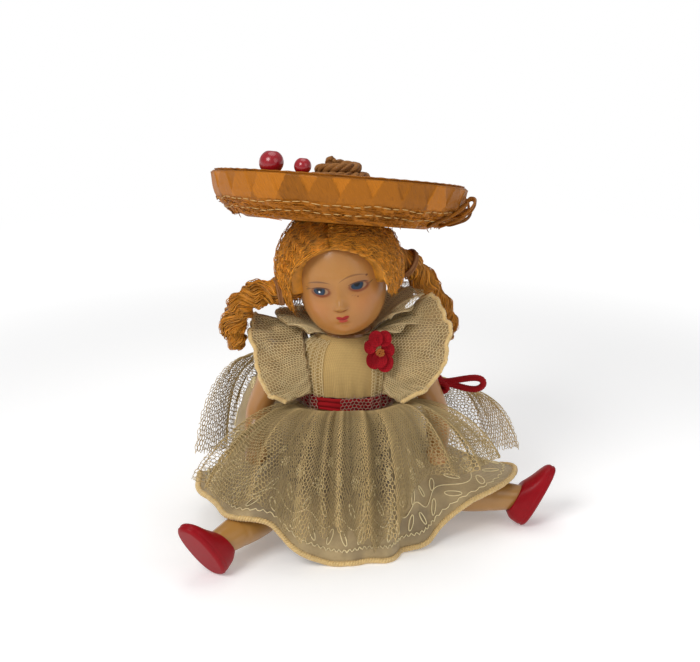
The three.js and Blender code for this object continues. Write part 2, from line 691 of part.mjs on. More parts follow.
function headPoint(longitude, latitude, standOff, forms) {
  const level = Math.sin(latitude);
  const low = Math.max(0, -level);
  const girth = low > 0 ? (1 - low ** JAW_FULLNESS) ** (1 / JAW_FULLNESS) : Math.cos(latitude);
  const across = girth * Math.sin(longitude);
  const forward = girth * Math.cos(longitude);
  const depth = forward > 0 ? FACE_DEPTH : NAPE_DEPTH;
  const x = (HEAD_HALF_WIDTH + standOff) * across;
  const z = (HEAD_HALF_HEIGHT + standOff) * level;
  let y = -(depth + standOff) * forward - CHIN_FORWARD * low * low;
  if (forward > 0) {
    for (const form of forms) {
      const away = ((x - form.x) / form.wide) ** 2 + ((z - form.z) / form.tall) ** 2;
      y -= form.push * Math.exp(-away) * Math.min(1, 3 * forward);
    }
  }
  return point(x, y, z);
}

function headSolid(standOff, forms, columns, rows) {
  const rings = Array.from({ length: rows - 1 }, (_, j) => {
    const latitude = -Math.PI / 2 + (Math.PI * (j + 1)) / rows;
    return Array.from({ length: columns }, (_, k) => {
      return headPoint((2 * Math.PI * k) / columns, latitude, standOff, forms);
    });
  });
  return loft(rings);
}

const headTurn = new THREE.Euler(radians(HEAD_PITCH), radians(HEAD_ROLL), radians(HEAD_YAW), "ZYX");
const headPlacing = new THREE.Matrix4().makeRotationFromEuler(headTurn).setPosition(...HEAD_CENTRE);
const fromHead = (x, y, z) => point(x, y, z).applyMatrix4(headPlacing);
const headDirection = (x, y, z) => point(x, y, z).transformDirection(headPlacing);

function headShells() {
  const neckTop = HEAD_CENTRE[2] - HEAD_HALF_HEIGHT / 2;
  const neckMiddle = point(0, 0, (neckBottom + neckTop) / 2);
  const neck = solid(rod(neckMiddle, up, NECK_RADIUS, neckTop - neckBottom));
  const bore = rod(neckMiddle, up, NECK_RADIUS - WALL, neckTop - neckBottom - 2 * WALL);
  const outer = solid(headSolid(0, FACE_FORMS, HEAD_COLUMNS, HEAD_ROWS).applyMatrix4(headPlacing)).add(neck);
  const inner = solid(headSolid(-WALL - 0.4, [], 12, 7).applyMatrix4(headPlacing)).add(solid(bore));
  const hole = solid(rod(point(0, 0, neckBottom), up, ELASTIC_HOLE_RADIUS, 4 * WALL, CORD_SIDES));
  const hollow = outer.subtract(inner).subtract(hole);
  const back = halfSpace(fromHead(0, HEAD_SEAM_Y, 0), headDirection(0, 1, 0));
  return { front: geometryOf(hollow.subtract(back)), back: geometryOf(hollow.intersect(back)) };
}

// Hat placing, shared by the wig that it presses down

const hatTurn = new THREE.Euler(radians(HAT_TILT_BACK), radians(HAT_ROLL), 0, "YXZ");
const hatPlacing = new THREE.Matrix4().makeRotationFromEuler(hatTurn).setPosition(...HAT_CENTRE);

function crownDome(standOff) {
  const radius = CROWN_RADIUS + standOff;
  const height = CROWN_HEIGHT + standOff;
  return [
    [0, height],
    [radius * 0.66, height - 0.2],
    [radius * 0.89, height * 0.79],
    [radius * 0.985, height * 0.42],
    [radius, 0],
  ];
}

// Wig: a cap of hair with a fringe, hollowed for the head and pressed flat by the hat

function wigPoint(longitude, latitude) {
  const across = Math.cos(latitude) * Math.sin(longitude);
  const forward = Math.cos(latitude) * Math.cos(longitude);
  const depth = forward > 0 ? WIG_FRONT : WIG_BACK;
  const lumps = 1 + 0.025 * Math.sin(7 * longitude) * Math.cos(5 * latitude);
  const height = WIG_HALF_HEIGHT * Math.sin(latitude);
  return point(WIG_HALF_WIDTH * across * lumps, -depth * forward * lumps, height);
}

function wigSolid(grow) {
  const rings = Array.from({ length: WIG_ROWS - 1 }, (_, j) => {
    const latitude = -Math.PI / 2 + (Math.PI * (j + 1)) / WIG_ROWS;
    return Array.from({ length: WIG_COLUMNS }, (_, k) => {
      return wigPoint((2 * Math.PI * k) / WIG_COLUMNS, latitude).multiplyScalar(grow);
    });
  });
  return loft(rings);
}

function wigBody() {
  const opening = new THREE.Shape();
  opening.moveTo(-FACE_OPENING_HALF_WIDTH, -2 * WIG_HALF_HEIGHT);
  opening.lineTo(FACE_OPENING_HALF_WIDTH, -2 * WIG_HALF_HEIGHT);
  opening.lineTo(FACE_OPENING_HALF_WIDTH, 0);
  opening.absellipse(0, 0, FACE_OPENING_HALF_WIDTH, FRINGE_LEVEL, 0, Math.PI, false);
  const cut = { depth: 2 * WIG_FRONT, bevelEnabled: false, curveSegments: 10 };
  const face = new THREE.ExtrudeGeometry(opening, cut);
  face.rotateX(Math.PI / 2).translate(0, FACE_OPENING_BACK, 0);
  const skull = headSolid(2 * CLEARANCE, [], 18, 12);
  const hair = solid(wigSolid(1)).subtract(solid(skull)).subtract(solid(face));
  const rise = radians(WIG_EDGE_RISE);
  const nape = halfSpace(point(0, NAPE_DEPTH, WIG_NAPE), point(0, Math.sin(rise), Math.cos(rise)));
  const placed = solid(geometryOf(hair.intersect(nape)).applyMatrix4(headPlacing));
  const underside = [...crownDome(-STRAW - CLEARANCE), [0, 0]];
  const dome = underside.map(([radius, level]) => [radius, level - CLEARANCE]);
  const roof = halfSpace(point(0, 0, -CLEARANCE), up).subtract(solid(turned(dome, ROUND_SIDES)));
  return placed.subtract(solid(geometryOf(roof).applyMatrix4(hatPlacing)));
}

// Pigtails: thick ringlets through hand-chosen points, measured from the head's centre, each with a radius

const RIGHT_PIGTAIL = [
  [-10.9, -0.6, -4, 3],
  [-15, -1.4, -5.2, 2.6],
  [-19.3, -2, -5.3, 3.4],
  [-24, -2, -6.9, 3.5],
  [-27.2, -2, -10.5, 3.5],
  [-28.5, -2, -15.5, 3.4],
  [-27.4, -2, -19.5, 2.6],
  [-26.2, -2, -21.1, 1.2],
];
const LEFT_PIGTAIL = [
  [12.6, 5, 2.5, 3.2],
  [16.8, 6.6, 1.1, 2.8],
  [20.4, 9, -3.5, 3.4],
  [24.4, 11.5, -9.5, 3.4],
  [27.6, 12, -15.3, 3.3],
  [29.2, 12, -19.9, 3.1],
  [28.8, 12, -22.7, 2.2],
  [28.2, 12, -24.1, 1.2],
];
const RINGLETS = 6;

const pigtailPoints = (route) => route.map(([x, y, z]) => point(x, y, z).add(point(...HEAD_CENTRE)));

function pigtail(route, wig) {
  const path = new THREE.CatmullRomCurve3(pigtailPoints(route));
  const radii = route.map((row, k) => [k / (route.length - 1), row[3]]);
  const rows = 26;
  const places = Array.from({ length: rows + 1 }, (_, j) => j / rows);
  const wave = (place) => 1 + 0.09 * Math.sin(2 * Math.PI * RINGLETS * place);
  const centres = places.map((place) => path.getPoint(place));
  const tail = sweep(centres, places.map((place) => curveAt(radii, place, 1) * wave(place)), 8);
  return geometryOf(solid(tail).subtract(wig));
}

// Hair grown by the clearance, so that a pigtail leaves the wig with a gap
function wigRoom() {
  return solid(wigSolid(1 + CLEARANCE / WIG_FRONT).applyMatrix4(headPlacing));
}

// The thread that ties a pigtail, a ring about its second point
function pigtailTie(route) {
  const [from, at, to] = pigtailPoints(route);
  const neck = at.clone().lerp(to, 0.32);
  const along = to.clone().sub(from).normalize();
  const radius = THREE.MathUtils.lerp(route[1][3], route[2][3], 0.32) * 1.1 + CLEARANCE + TIE_RADIUS;
  const tie = new THREE.TorusGeometry(radius, TIE_RADIUS, CORD_SIDES, LIMB_SIDES);
  tie.applyQuaternion(new THREE.Quaternion().setFromUnitVectors(up, along));
  return tie.translate(neck.x, neck.y, neck.z);
}

// Hat

const brimHole = CROWN_RADIUS + CLEARANCE;

function hatBrim() {
  const wallIn = STRAW * 1.1;
  return turned(
    [
      [brimHole, 0],
      [BRIM_FLAT_RADIUS, 0],
      [RIM_FOOT_RADIUS, RIM_FOOT_LEVEL],
      [(RIM_FOOT_RADIUS + RIM_TOP_RADIUS) / 2 + RIM_BULGE, (RIM_FOOT_LEVEL + RIM_TOP_LEVEL) / 2],
      [RIM_TOP_RADIUS, RIM_TOP_LEVEL],
      [RIM_TOP_RADIUS - wallIn, RIM_TOP_LEVEL + 0.2],
      [(RIM_FOOT_RADIUS + RIM_TOP_RADIUS) / 2 + RIM_BULGE - wallIn, (RIM_FOOT_LEVEL + RIM_TOP_LEVEL) / 2 + 0.4],
      [RIM_FOOT_RADIUS - wallIn, RIM_FOOT_LEVEL + STRAW],
      [BRIM_FLAT_RADIUS - 0.3, STRAW],
      [brimHole, STRAW],
      [brimHole, 0],
    ],
    HAT_SIDES,
  );
}

function hatCrown() {
  const inner = crownDome(-STRAW).reverse();
  return turned([...crownDome(0), ...inner], ROUND_SIDES);
}

// The wide plait sewn round the outside of the rim
function hatRimBand() {
  const foot = new THREE.Vector2(RIM_FOOT_RADIUS, RIM_FOOT_LEVEL);
  const top = new THREE.Vector2(RIM_TOP_RADIUS, RIM_TOP_LEVEL);
  const waist = foot.clone().lerp(top, 0.5).add(new THREE.Vector2(RIM_BULGE, 0));
  const outward = new THREE.Vector2(top.y - foot.y, foot.x - top.x).normalize();
  const edge = [foot.clone().lerp(waist, 0.2), waist, waist.clone().lerp(top, 0.92)];
  const near = edge.map((place) => place.clone().addScaledVector(outward, CLEARANCE));
  const away = edge.map((place) => place.clone().addScaledVector(outward, CLEARANCE + STRAW));
  const outline = [...away, ...near.reverse(), away[0]];
  return turned(outline.map((place) => place.toArray()), HAT_SIDES);
}

// The rope coil on the crown: it spirals in and climbs at a steady rate, with a straight run at each end

const LOOP_STEPS = 24;
const ROPE_SIDES = 6;

function ropeRoute() {
  const base = CROWN_HEIGHT + CLEARANCE + ROPE_RADIUS;
  const steps = ROPE_LOOPS * LOOP_STEPS;
  const coil = Array.from({ length: steps + 1 }, (_, k) => {
    const share = k / steps;
    const angle = radians(150) + 2 * Math.PI * ROPE_LOOPS * share;
    const radius = THREE.MathUtils.lerp(ROPE_OUTER_RADIUS, ROPE_INNER_RADIUS, share);
    return point(radius * Math.cos(angle), radius * Math.sin(angle), base + ROPE_RISE * share);
  });
  const lead = coil[0].clone().sub(coil[1]).setZ(0).setLength(2 * ROPE_RADIUS);
  const inward = point(-coil[steps].x, -coil[steps].y, 0).setLength(2 * ROPE_RADIUS);
  const onward = coil[steps].clone().sub(coil[steps - 1]).setLength(2 * ROPE_RADIUS);
  const tail = onward.add(inward).setLength(2 * ROPE_RADIUS);
  return [coil[0].clone().add(lead), ...coil, coil[steps].clone().add(tail)];
}

// The least gap between stretches of the coil that lie half a loop or more apart
function leastGap(route, radius) {
  let least = Infinity;
  for (let a = 0; a < route.length; a += 1) {
    for (let b = a + LOOP_STEPS / 2; b < route.length; b += 1) {
      least = Math.min(least, route[a].distanceTo(route[b]) - 2 * radius);
    }
  }
  return least;
}

function hatRope() {
  const route = ropeRoute();
  console.log(`hat_rope: least gap to itself ${leastGap(route, ROPE_RADIUS).toFixed(2)} mm`);
  return sweep(route, route.map(() => ROPE_RADIUS), ROPE_SIDES);
}

// Berries lie against the inside of the rim's top edge, toward the front
function berryCentre(x, radius) {
  const inner = [RIM_TOP_RADIUS - STRAW * 1.1, RIM_TOP_LEVEL + 0.2];
  const rise = RIM_TOP_LEVEL - RIM_FOOT_LEVEL;
  const run = RIM_TOP_RADIUS - RIM_FOOT_RADIUS;
  const slope = Math.hypot(rise, run);
  const away = radius + CLEARANCE;
  const reach = inner[0] - (away * rise) / slope;
  return point(x, -Math.sqrt(reach ** 2 - x ** 2), inner[1] + (away * run) / slope);
}

// A wire stem from the foot of the crown, under the berry it carries
function berryStem(x, radius) {
  const berry = berryCentre(x, radius);
  const inward = point(-berry.x, -berry.y, 0).normalize();
  const foot = berry.clone().setZ(0).setLength(brimHole + STEM_RADIUS).setZ(STRAW + CLEARANCE + STEM_RADIUS);
  const beside = berry.clone().addScaledVector(inward, 0.6 * radius);
  const seat = beside.addScaledVector(up, -0.9 * radius - 2 * CLEARANCE);
  const flat = THREE.MathUtils.lerp(brimHole, BRIM_FLAT_RADIUS, 0.7);
  const low = berry.clone().setZ(0).setLength(flat).setZ(foot.z + CLEARANCE);
  return cord([foot, low, seat], STEM_RADIUS);
}

// Bodice

const around = (u) => 2 * Math.PI * u;
const liningMiddle = CLEARANCE + CLOTH / 2;
const sashMiddle = 2 * CLEARANCE + CLOTH + SASH_THICKNESS / 2;
const plastronMiddle = 2 * CLEARANCE + CLOTH + CLOTH / 2;
const sashTop = WAIST_LEVEL + SASH_HEIGHT;

function bodiceLining() {
  const tube = cloth((u, v) => {
    return torsoPoint(around(u), THREE.MathUtils.lerp(WAIST_LEVEL, BODICE_TOP, v), liningMiddle);
  }, evenPlaces(ROUND_SIDES), evenPlaces(4), CLOTH, true);
  const armholes = rod(shoulderLine, sideways, ARMHOLE_RADIUS, 4 * CHEST_HALF_WIDTH);
  return geometryOf(solid(tube).subtract(solid(armholes)));
}

function bodiceFront() {
  const half = radians(PLASTRON_HALF_ANGLE);
  return cloth((u, v) => {
    const level = THREE.MathUtils.lerp(sashTop + CLEARANCE, BODICE_TOP, v);
    return torsoPoint(THREE.MathUtils.lerp(-half, half, u), level, plastronMiddle);
  }, evenPlaces(10), evenPlaces(4), CLOTH, false);
}

function waistSash() {
  return cloth((u, v) => {
    return torsoPoint(around(u), THREE.MathUtils.lerp(WAIST_LEVEL, sashTop, v), sashMiddle);
  }, evenPlaces(ROUND_SIDES), evenPlaces(2), SASH_THICKNESS, true);
}

// Collar frills: from a seam over the shoulder out to a scalloped edge, both through hand-chosen points.
// Their levels are measured from the shoulder.

const FRILL_SEAM = [
  [9.3, -9, -8.6],
  [10, -8.9, -3],
  [11, -8.2, 2],
  [11.8, -1, 7.2],
  [11.2, 6, 5.6],
  [10, 9.2, -3],
  [9.3, 9.4, -8.6],
];
const LEFT_FRILL_EDGE = [
  [14.5, -13.8, -9.4],
  [22, -12.8, -4.5],
  [26.4, -10.6, 2.5],
  [26.6, -5, 10],
  [22.8, 0.2, 16],
  [18.4, 4.6, 11.4],
  [16.6, 10, 1],
  [13, 13, -8.4],
];
const RIGHT_FRILL_EDGE = [
  [16.2, -14, -9.2],
  [21, -13.4, -6.6],
  [24.2, -10.8, 1.4],
  [25.4, -4, 7.6],
  [24.8, 2, 10],
  [22, 8, 5],
  [18.4, 12, -2],
  [13, 13, -8.4],
];

function frill(side) {
  const mirrored = (rows) => {
    return new THREE.CatmullRomCurve3(rows.map(([x, y, z]) => point(side * x, y, SHOULDER_LEVEL + z)));
  };
  const seam = mirrored(FRILL_SEAM);
  const edge = mirrored(side > 0 ? LEFT_FRILL_EDGE : RIGHT_FRILL_EDGE);
  return cloth((u, v) => {
    const place = seam.getPoint(u).lerp(edge.getPoint(u), v);
    const ripple = FRILL_RIPPLE * v * v * Math.sin(around(u) * FRILL_RIPPLES);
    return place.add(point(side * 0.5, -0.4, 0.7).multiplyScalar(ripple));
  }, evenPlaces(30), evenPlaces(3), CLOTH, false);
}

// Skirts: one row for each azimuth from the front, toward the doll's left.
// The radius and the level above the waist lead the cloth off it, then come the hem's radius and level.

const SKIRT_TABLE = [
  [-180, 21, -3, 37, 0.9],
  [-140, 21, -3, 38.4, 1.2],
  [-110, 16, -11, 42, 8],
  [-92, 15, -18, 42, 13.6],
  [-72, 15, -17, 41, 13.4],
  [-56, 18, -8, 39.4, 13.4],
  [-38, 20, -4, 36.6, 13.2],
  [-27, 20, -3, 31, 6],
  [-10, 20, -3, 28.2, 0.9],
  [12, 20, -3, 27, 0.9],
  [36, 20, -3, 26.6, 0.9],
  [58, 18, -6, 28, 3.4],
  [74, 15, -16, 38.4, 12.6],
  [90, 15, -18, 47.4, 15],
  [106, 16, -14, 45.5, 11.8],
  [124, 20, -5, 42, 4],
  [150, 21, -3, 38, 0.9],
  [180, 21, -3, 37, 0.9],
];

const skirtTopLevel = WAIST_LEVEL - CLEARANCE - CLOTH;
const foldAt = (azimuth) => SKIRT_FOLD_DEPTH * Math.cos(SKIRT_FOLDS * azimuth);

function outFrom(azimuth, radius, level) {
  return point(radius * Math.sin(azimuth), -radius * Math.cos(azimuth), level);
}

function underskirtPoint(azimuth, share) {
  const degrees = THREE.MathUtils.radToDeg(azimuth);
  const row = [1, 2, 3, 4].map((k) => curveAt(SKIRT_TABLE, degrees, k));
  const [controlRadius, controlLevel, hemRadius, hemLevel] = row;
  const scallop = SCALLOP_DEPTH * (Math.abs(Math.sin((SCALLOPS / 2) * azimuth)) - 1) * share ** 4;
  const [a, b, c] = [(1 - share) ** 2, 2 * share * (1 - share), share ** 2];
  const radius = a * SKIRT_TOP_RADIUS + b * controlRadius + c * hemRadius + scallop + foldAt(azimuth) * share;
  const level = a * skirtTopLevel + b * (WAIST_LEVEL + controlLevel) + c * hemLevel;
  return outFrom(azimuth, radius, level);
}

function underskirt() {
  const [across, down] = [evenPlaces(72), evenPlaces(5)];
  return cloth((u, v) => underskirtPoint(around(u > 0.5 ? u - 1 : u), v), across, down, CLOTH, true);
}

// Net over the skirt: each row also has where the cloth stands up from the waist and where it turns down.
// Both of these levels are above the waist, and the hem's is above the floor.
const NET_TABLE = [
  [-252, 22, -1.5, 47, 3, 53, 14],
  [-235, 22, -0.5, 46, 2, 50, 9],
  [-210, 20, 1, 40, 0, 42, 6],
  [-180, 20, 2, 39, 0, 40, 5],
  [-150, 20, 4, 40, 3, 41.5, 6],
  [-125, 22, 13, 42, 6, 44.5, 11],
  [-108, 24, 18, 41, 10, 44.8, 13.5],
  [-76, 20, 2, 36, -6, 42, 17.5],
  [-64, 20, 3, 35, -6, 40.8, 17.4],
  [-40, 20, 7, 36, -3, 39.4, 16.6],
  [-24, 20, 9, 33, -5, 34, 9.6],
  [0, 20, 11, 31, -6, 30.6, 5],
  [20, 20, 10, 30, -7, 29.6, 5],
  [30, 20, 9, 29, -5, 29.4, 10],
  [40, 20, 8, 30, -1, 32, 23.5],
  [52, 20, 8, 34, 0, 38, 25],
  [66, 20, 5, 36, -1.5, 42, 25.2],
  [78, 20, 4, 36, -1, 43.6, 25.2],
];

function netPoint(azimuth, share) {
  const degrees = THREE.MathUtils.radToDeg(azimuth);
  const [r1, z1, r2, z2, r3, z3] = [1, 2, 3, 4, 5, 6].map((k) => curveAt(NET_TABLE, degrees, k));
  const rest = 1 - share;
  const weights = [rest ** 3, 3 * rest ** 2 * share, 3 * rest * share ** 2, share ** 3];
  const mix = (values) => values.reduce((sum, value, k) => sum + value * weights[k], 0);
  const radius = mix([NET_TOP_RADIUS, r1, r2, r3]) + foldAt(azimuth) * share;
  return outFrom(azimuth, radius, mix([skirtTopLevel, WAIST_LEVEL + z1, WAIST_LEVEL + z2, z3]));
}

function net(fromDegrees, toDegrees) {
  const [start, end] = [radians(fromDegrees), radians(toDegrees)];
  const across = barPlaces(NET_OPENINGS_ACROSS, NET_BAR_SHARE);
  const down = barPlaces(NET_OPENINGS_DOWN, NET_BAR_SHARE);
  const surface = (u, v) => netPoint(THREE.MathUtils.lerp(start, end, u), v);
  return cloth(surface, across, down, CLOTH, false, true);
}

// Bow at the left of the sash: one loop lies out past the arm, the other round the back

function bowLoop(length, dip, turn) {
  const outline = new THREE.Shape();
  const [near, wide] = [KNOT_HALF_WIDTH + CLEARANCE, length * 0.6];
  outline.moveTo(near, -0.7);
  outline.bezierCurveTo(wide, -LOOP_HALF_HEIGHT * 1.6, length, -LOOP_HALF_HEIGHT, length, 0);
  outline.bezierCurveTo(length, LOOP_HALF_HEIGHT, wide, LOOP_HALF_HEIGHT * 1.6, near, 0.7);
  const gap = new THREE.Path();
  const inside = length - BOW_RIBBON;
  gap.moveTo(near + 3, 0);
  gap.bezierCurveTo(wide, LOOP_HALF_HEIGHT * 1.2, inside, LOOP_HALF_HEIGHT - BOW_RIBBON, inside, 0);
  gap.bezierCurveTo(inside, BOW_RIBBON - LOOP_HALF_HEIGHT, wide, -LOOP_HALF_HEIGHT * 1.2, near + 3, 0);
  outline.holes.push(gap);
  const width = { depth: BOW_RIBBON_WIDTH, bevelEnabled: false, curveSegments: 8 };
  const loop = new THREE.ExtrudeGeometry(outline, width);
  loop.translate(0, 0, -BOW_RIBBON_WIDTH / 2).rotateX(Math.PI / 2);
  return loop.rotateY(radians(dip)).rotateZ(radians(turn));
}

function bowKnot() {
  const knot = new THREE.SphereGeometry(1, LIMB_SIDES, CORD_SIDES);
  return knot.scale(KNOT_HALF_WIDTH, BOW_RIBBON_WIDTH / 2, LOOP_HALF_HEIGHT * 0.8);
}

// Corsage: five round petals about a yellow eye

function flowerPetals() {
  const disc = new THREE.SphereGeometry(1, LIMB_SIDES, 4);
  disc.scale(PETAL_RADIUS, PETAL_THICKNESS, PETAL_RADIUS);
  let body = solid(disc);
  for (let k = 0; k < PETALS; k += 1) {
    const angle = Math.PI / 2 + (2 * Math.PI * (k + 0.05)) / PETALS;
    const petal = disc.clone().translate(PETAL_REACH * Math.cos(angle), 0, PETAL_REACH * Math.sin(angle));
    body = body.add(solid(petal));
  }
  return geometryOf(body).scale(FLOWER_NARROWING, 1, 1);
}

function flowerEye() {
  const eye = new THREE.SphereGeometry(FLOWER_EYE_RADIUS, LIMB_SIDES, CORD_SIDES);
  return eye.translate(0, -PETAL_THICKNESS - FLOWER_EYE_RADIUS - CLEARANCE / 2, 0);
}

// Assembly

const doll = new THREE.Group();

const torso = torsoShells();
addPiece(doll, "torso_front_shell", torso.front, CELLULOID, 0.3);
addPiece(doll, "torso_back_shell", torso.back, CELLULOID, 0.3);
addPiece(doll, "arm_elastic", armElastic(), ELASTIC_CORD, 0.8);
addPiece(doll, "leg_elastic", legElastic(), ELASTIC_CORD, 0.8);
addPiece(doll, "neck_elastic", neckElastic(), ELASTIC_CORD, 0.8);

const head = headShells();
addPiece(doll, "head_front_shell", head.front, CELLULOID, 0.25);
addPiece(doll, "head_back_shell", head.back, CELLULOID, 0.25);
const wig = wigRoom();
addPiece(doll, "wig", geometryOf(wigBody()), HAIR, 0.7);
addPiece(doll, "right_pigtail", pigtail(RIGHT_PIGTAIL, wig), HAIR, 0.7);
addPiece(doll, "left_pigtail", pigtail(LEFT_PIGTAIL, wig), HAIR, 0.7);
addPiece(doll, "right_pigtail_tie", pigtailTie(RIGHT_PIGTAIL), ELASTIC_CORD, 0.7);
addPiece(doll, "left_pigtail_tie", pigtailTie(LEFT_PIGTAIL), ELASTIC_CORD, 0.7);

const hat = new THREE.Group();
hat.position.set(...HAT_CENTRE);
hat.rotation.copy(hatTurn);
addPiece(hat, "hat_brim", hatBrim(), STRAW_COLOUR, 0.75);
addPiece(hat, "hat_crown", hatCrown(), STRAW_COLOUR, 0.75);
addPiece(hat, "hat_rim_band", hatRimBand(), STRAW_COLOUR, 0.6);
addPiece(hat, "hat_rope", hatRope(), "#7a4a22", 0.8);
for (const [name, x, radius] of [
  ["large", LARGE_BERRY_X, LARGE_BERRY_RADIUS],
  ["small", SMALL_BERRY_X, SMALL_BERRY_RADIUS],
]) {
  addPiece(hat, `${name}_berry`, ball(berryCentre(x, radius), radius), BERRY_RED, 0.3);
  addPiece(hat, `${name}_berry_stem`, berryStem(x, radius), "#5b3a1e", 0.7);
}
doll.add(hat);

for (const [name, side, frame] of [
  ["left", 1, leftLeg],
  ["right", -1, rightLeg],
]) {
  const arm = armShells(side);
  addPiece(doll, `${name}_arm_outer_shell`, arm.outer, CELLULOID, 0.3);
  addPiece(doll, `${name}_arm_inner_shell`, arm.inner, CELLULOID, 0.3);
  const [first, second] = legShells(frame);
  addPiece(doll, `${name}_leg_back_shell`, side > 0 ? first : second, STOCKING, 0.4);
  addPiece(doll, `${name}_leg_front_shell`, side > 0 ? second : first, STOCKING, 0.4);
  addPiece(doll, `${name}_hip_pin`, hipPin(frame), "#8d8a84", 0.35, 1);
  addPiece(doll, `${name}_shoe`, shoe(frame), RED_ENAMEL, 0.35);
  addPiece(doll, `${name}_collar_frill`, frill(side), ORGANZA, 0.6);
}

addPiece(doll, "bodice_lining", bodiceLining(), NAVY, 0.8);
addPiece(doll, "bodice_front", bodiceFront(), CREAM, 0.8);
addPiece(doll, "waist_sash", waistSash(), RIBBON_RED, 0.5);
addPiece(doll, "underskirt", underskirt(), ORGANZA, 0.6);
addPiece(doll, "net_front", net(NET_FRONT_RIGHT, NET_FRONT_LEFT), NET, 0.8);
addPiece(doll, "net_back", net(NET_BACK_LEFT - 360, NET_BACK_RIGHT - 360), NET, 0.8);

const bow = new THREE.Group();
bow.position.set(...BOW_CENTRE);
addPiece(bow, "bow_knot", bowKnot(), RIBBON_RED, 0.5);
addPiece(bow, "bow_left_loop", bowLoop(LEFT_LOOP_LENGTH, LEFT_LOOP_DIP, LEFT_LOOP_TURN), RIBBON_RED, 0.5);
addPiece(bow, "bow_right_loop", bowLoop(RIGHT_LOOP_LENGTH, RIGHT_LOOP_DIP, RIGHT_LOOP_TURN), RIBBON_RED, 0.5);
doll.add(bow);

const corsage = new THREE.Group();
corsage.position.set(...FLOWER_CENTRE);
addPiece(corsage, "flower_petals", flowerPetals(), "#bd1330", 0.6);
addPiece(corsage, "flower_eye", flowerEye(), "#b98a2c", 0.6);
doll.add(corsage);

export default doll;
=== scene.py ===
"""Looks of a seated celluloid doll in an organza and net dress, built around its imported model."""

import math

import bpy
import numpy as np
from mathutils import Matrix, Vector


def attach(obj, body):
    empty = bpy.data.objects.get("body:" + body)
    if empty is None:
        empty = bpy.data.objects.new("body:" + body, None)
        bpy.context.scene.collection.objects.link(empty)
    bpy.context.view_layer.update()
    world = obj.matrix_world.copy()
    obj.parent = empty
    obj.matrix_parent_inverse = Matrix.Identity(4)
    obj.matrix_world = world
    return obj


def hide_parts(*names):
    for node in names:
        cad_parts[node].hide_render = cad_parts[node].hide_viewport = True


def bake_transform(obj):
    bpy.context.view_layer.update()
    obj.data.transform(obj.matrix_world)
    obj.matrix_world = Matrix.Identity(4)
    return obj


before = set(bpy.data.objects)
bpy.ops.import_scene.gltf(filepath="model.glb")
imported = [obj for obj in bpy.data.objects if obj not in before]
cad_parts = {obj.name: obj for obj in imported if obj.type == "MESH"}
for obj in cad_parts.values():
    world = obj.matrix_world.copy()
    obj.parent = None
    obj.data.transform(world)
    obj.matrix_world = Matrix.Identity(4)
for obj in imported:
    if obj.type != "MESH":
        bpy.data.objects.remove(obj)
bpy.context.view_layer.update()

bl_info = {
    "name": "Celluloid Doll",
    "version": (1, 0, 0),
    "blender": (4, 5, 0),
    "location": "View3D > Sidebar > Doll",
    "description": "Builds a seated celluloid doll, its dress, its straw hat and a plain stage",
    "category": "Add Mesh",
}

# Sizes are in millimetres and turned into metres where a mesh is made
MM = 0.001

# Torso: level, half width and half depth
TORSO_ROWS = [
    (0, 9.5, 8.5),
    (1.2, 10.9, 9.6),
    (12, 13.2, 11),
    (38, 11.2, 9.2),
    (49, 12.5, 9.4),
    (55, 10.8, 8),
    (58, 6.5, 6.5),
]
WAIST_LEVEL = 38.0
SHOULDER_LEVEL = 51.0
NECKLINE_LEVEL = 55.4

# Arms: distance out, forward place, level and radius
ARM_ROWS = [
    (12.5, 0, 51, 4.1),
    (15.5, 0, 50.9, 4.1),
    (18.7, 0.2, 47.8, 4.0),
    (21.8, 0.6, 40.5, 3.6),
    (24.4, 0.7, 33.5, 3.4),
    (25, -1.6, 28.6, 3.3),
    (25, -4.8, 25.7, 2.7),
    (24.8, -8, 23.5, 2.7),
    (24.7, -10, 22.3, 1.6),
]

# Thumb of the doll's left hand, from a place inside the hand
THUMB = [(-1.2, 0.4, 1.0), (-2.2, -0.9, 1.4), (-2.3, -2.4, 0.7), (-2.0, -3.2, 0.2)]

HIP_JOINT = (11.5, -1.6, 10.6)
LEG_LENGTH = 35.2
# Legs: distance from the hip joint, and radius
LEG_ROWS = [
    (-2.5, 5.454),
    (-1.25, 5.868),
    (0, 6),
    (6.34, 5.8),
    (15.84, 4.9),
    (23.94, 4.8),
    (35.2, 3.6),
    (38.8, 3),
]
# How each leg lies: its side, then its splay and roll in degrees
LEG_POSES = {"left": (1, 91, 14), "right": (-1, 39, 13)}
TOE_POINT_DEGREES = 26
SOLE_BELOW_ANKLE = 6.4
# Shoes: height above the sole, reach back to the heel and on to the toe, and half width
SHOE_ROWS = [
    (0, 5.5, 12.5, 4.4),
    (0.8, 6, 13, 4.9),
    (2.79, 6, 12.2, 4.9),
    (4.65, 5.7, 8, 4.8),
    (6.2, 4.6, 5.0, 4.6),
]

# Head
HEAD_CENTRE = np.array([-1.8, -3.4, 75.3])
HEAD_TURN = (math.radians(4), math.radians(-10), math.radians(-4))
HEAD_HALF_WIDTH = 11.8
FACE_DEPTH = 12.4
NAPE_DEPTH = 13.2
HEAD_HALF_HEIGHT = 15.4
CHIN_FORWARD = 4.0
JAW_FULLNESS = 2.6
# Neck: radius and level
NECK_PROFILE = [(4.4, 58.3), (4.9, 58.5), (5.0, 59.2), (4.75, 61), (4.7, 64), (5.0, 68), (5.2, 71)]
# Each eye: its place across, where it looks, and its slant
EYES = ((-4.5, -4.9, -0.05), (5.45, 5.05, -0.15))
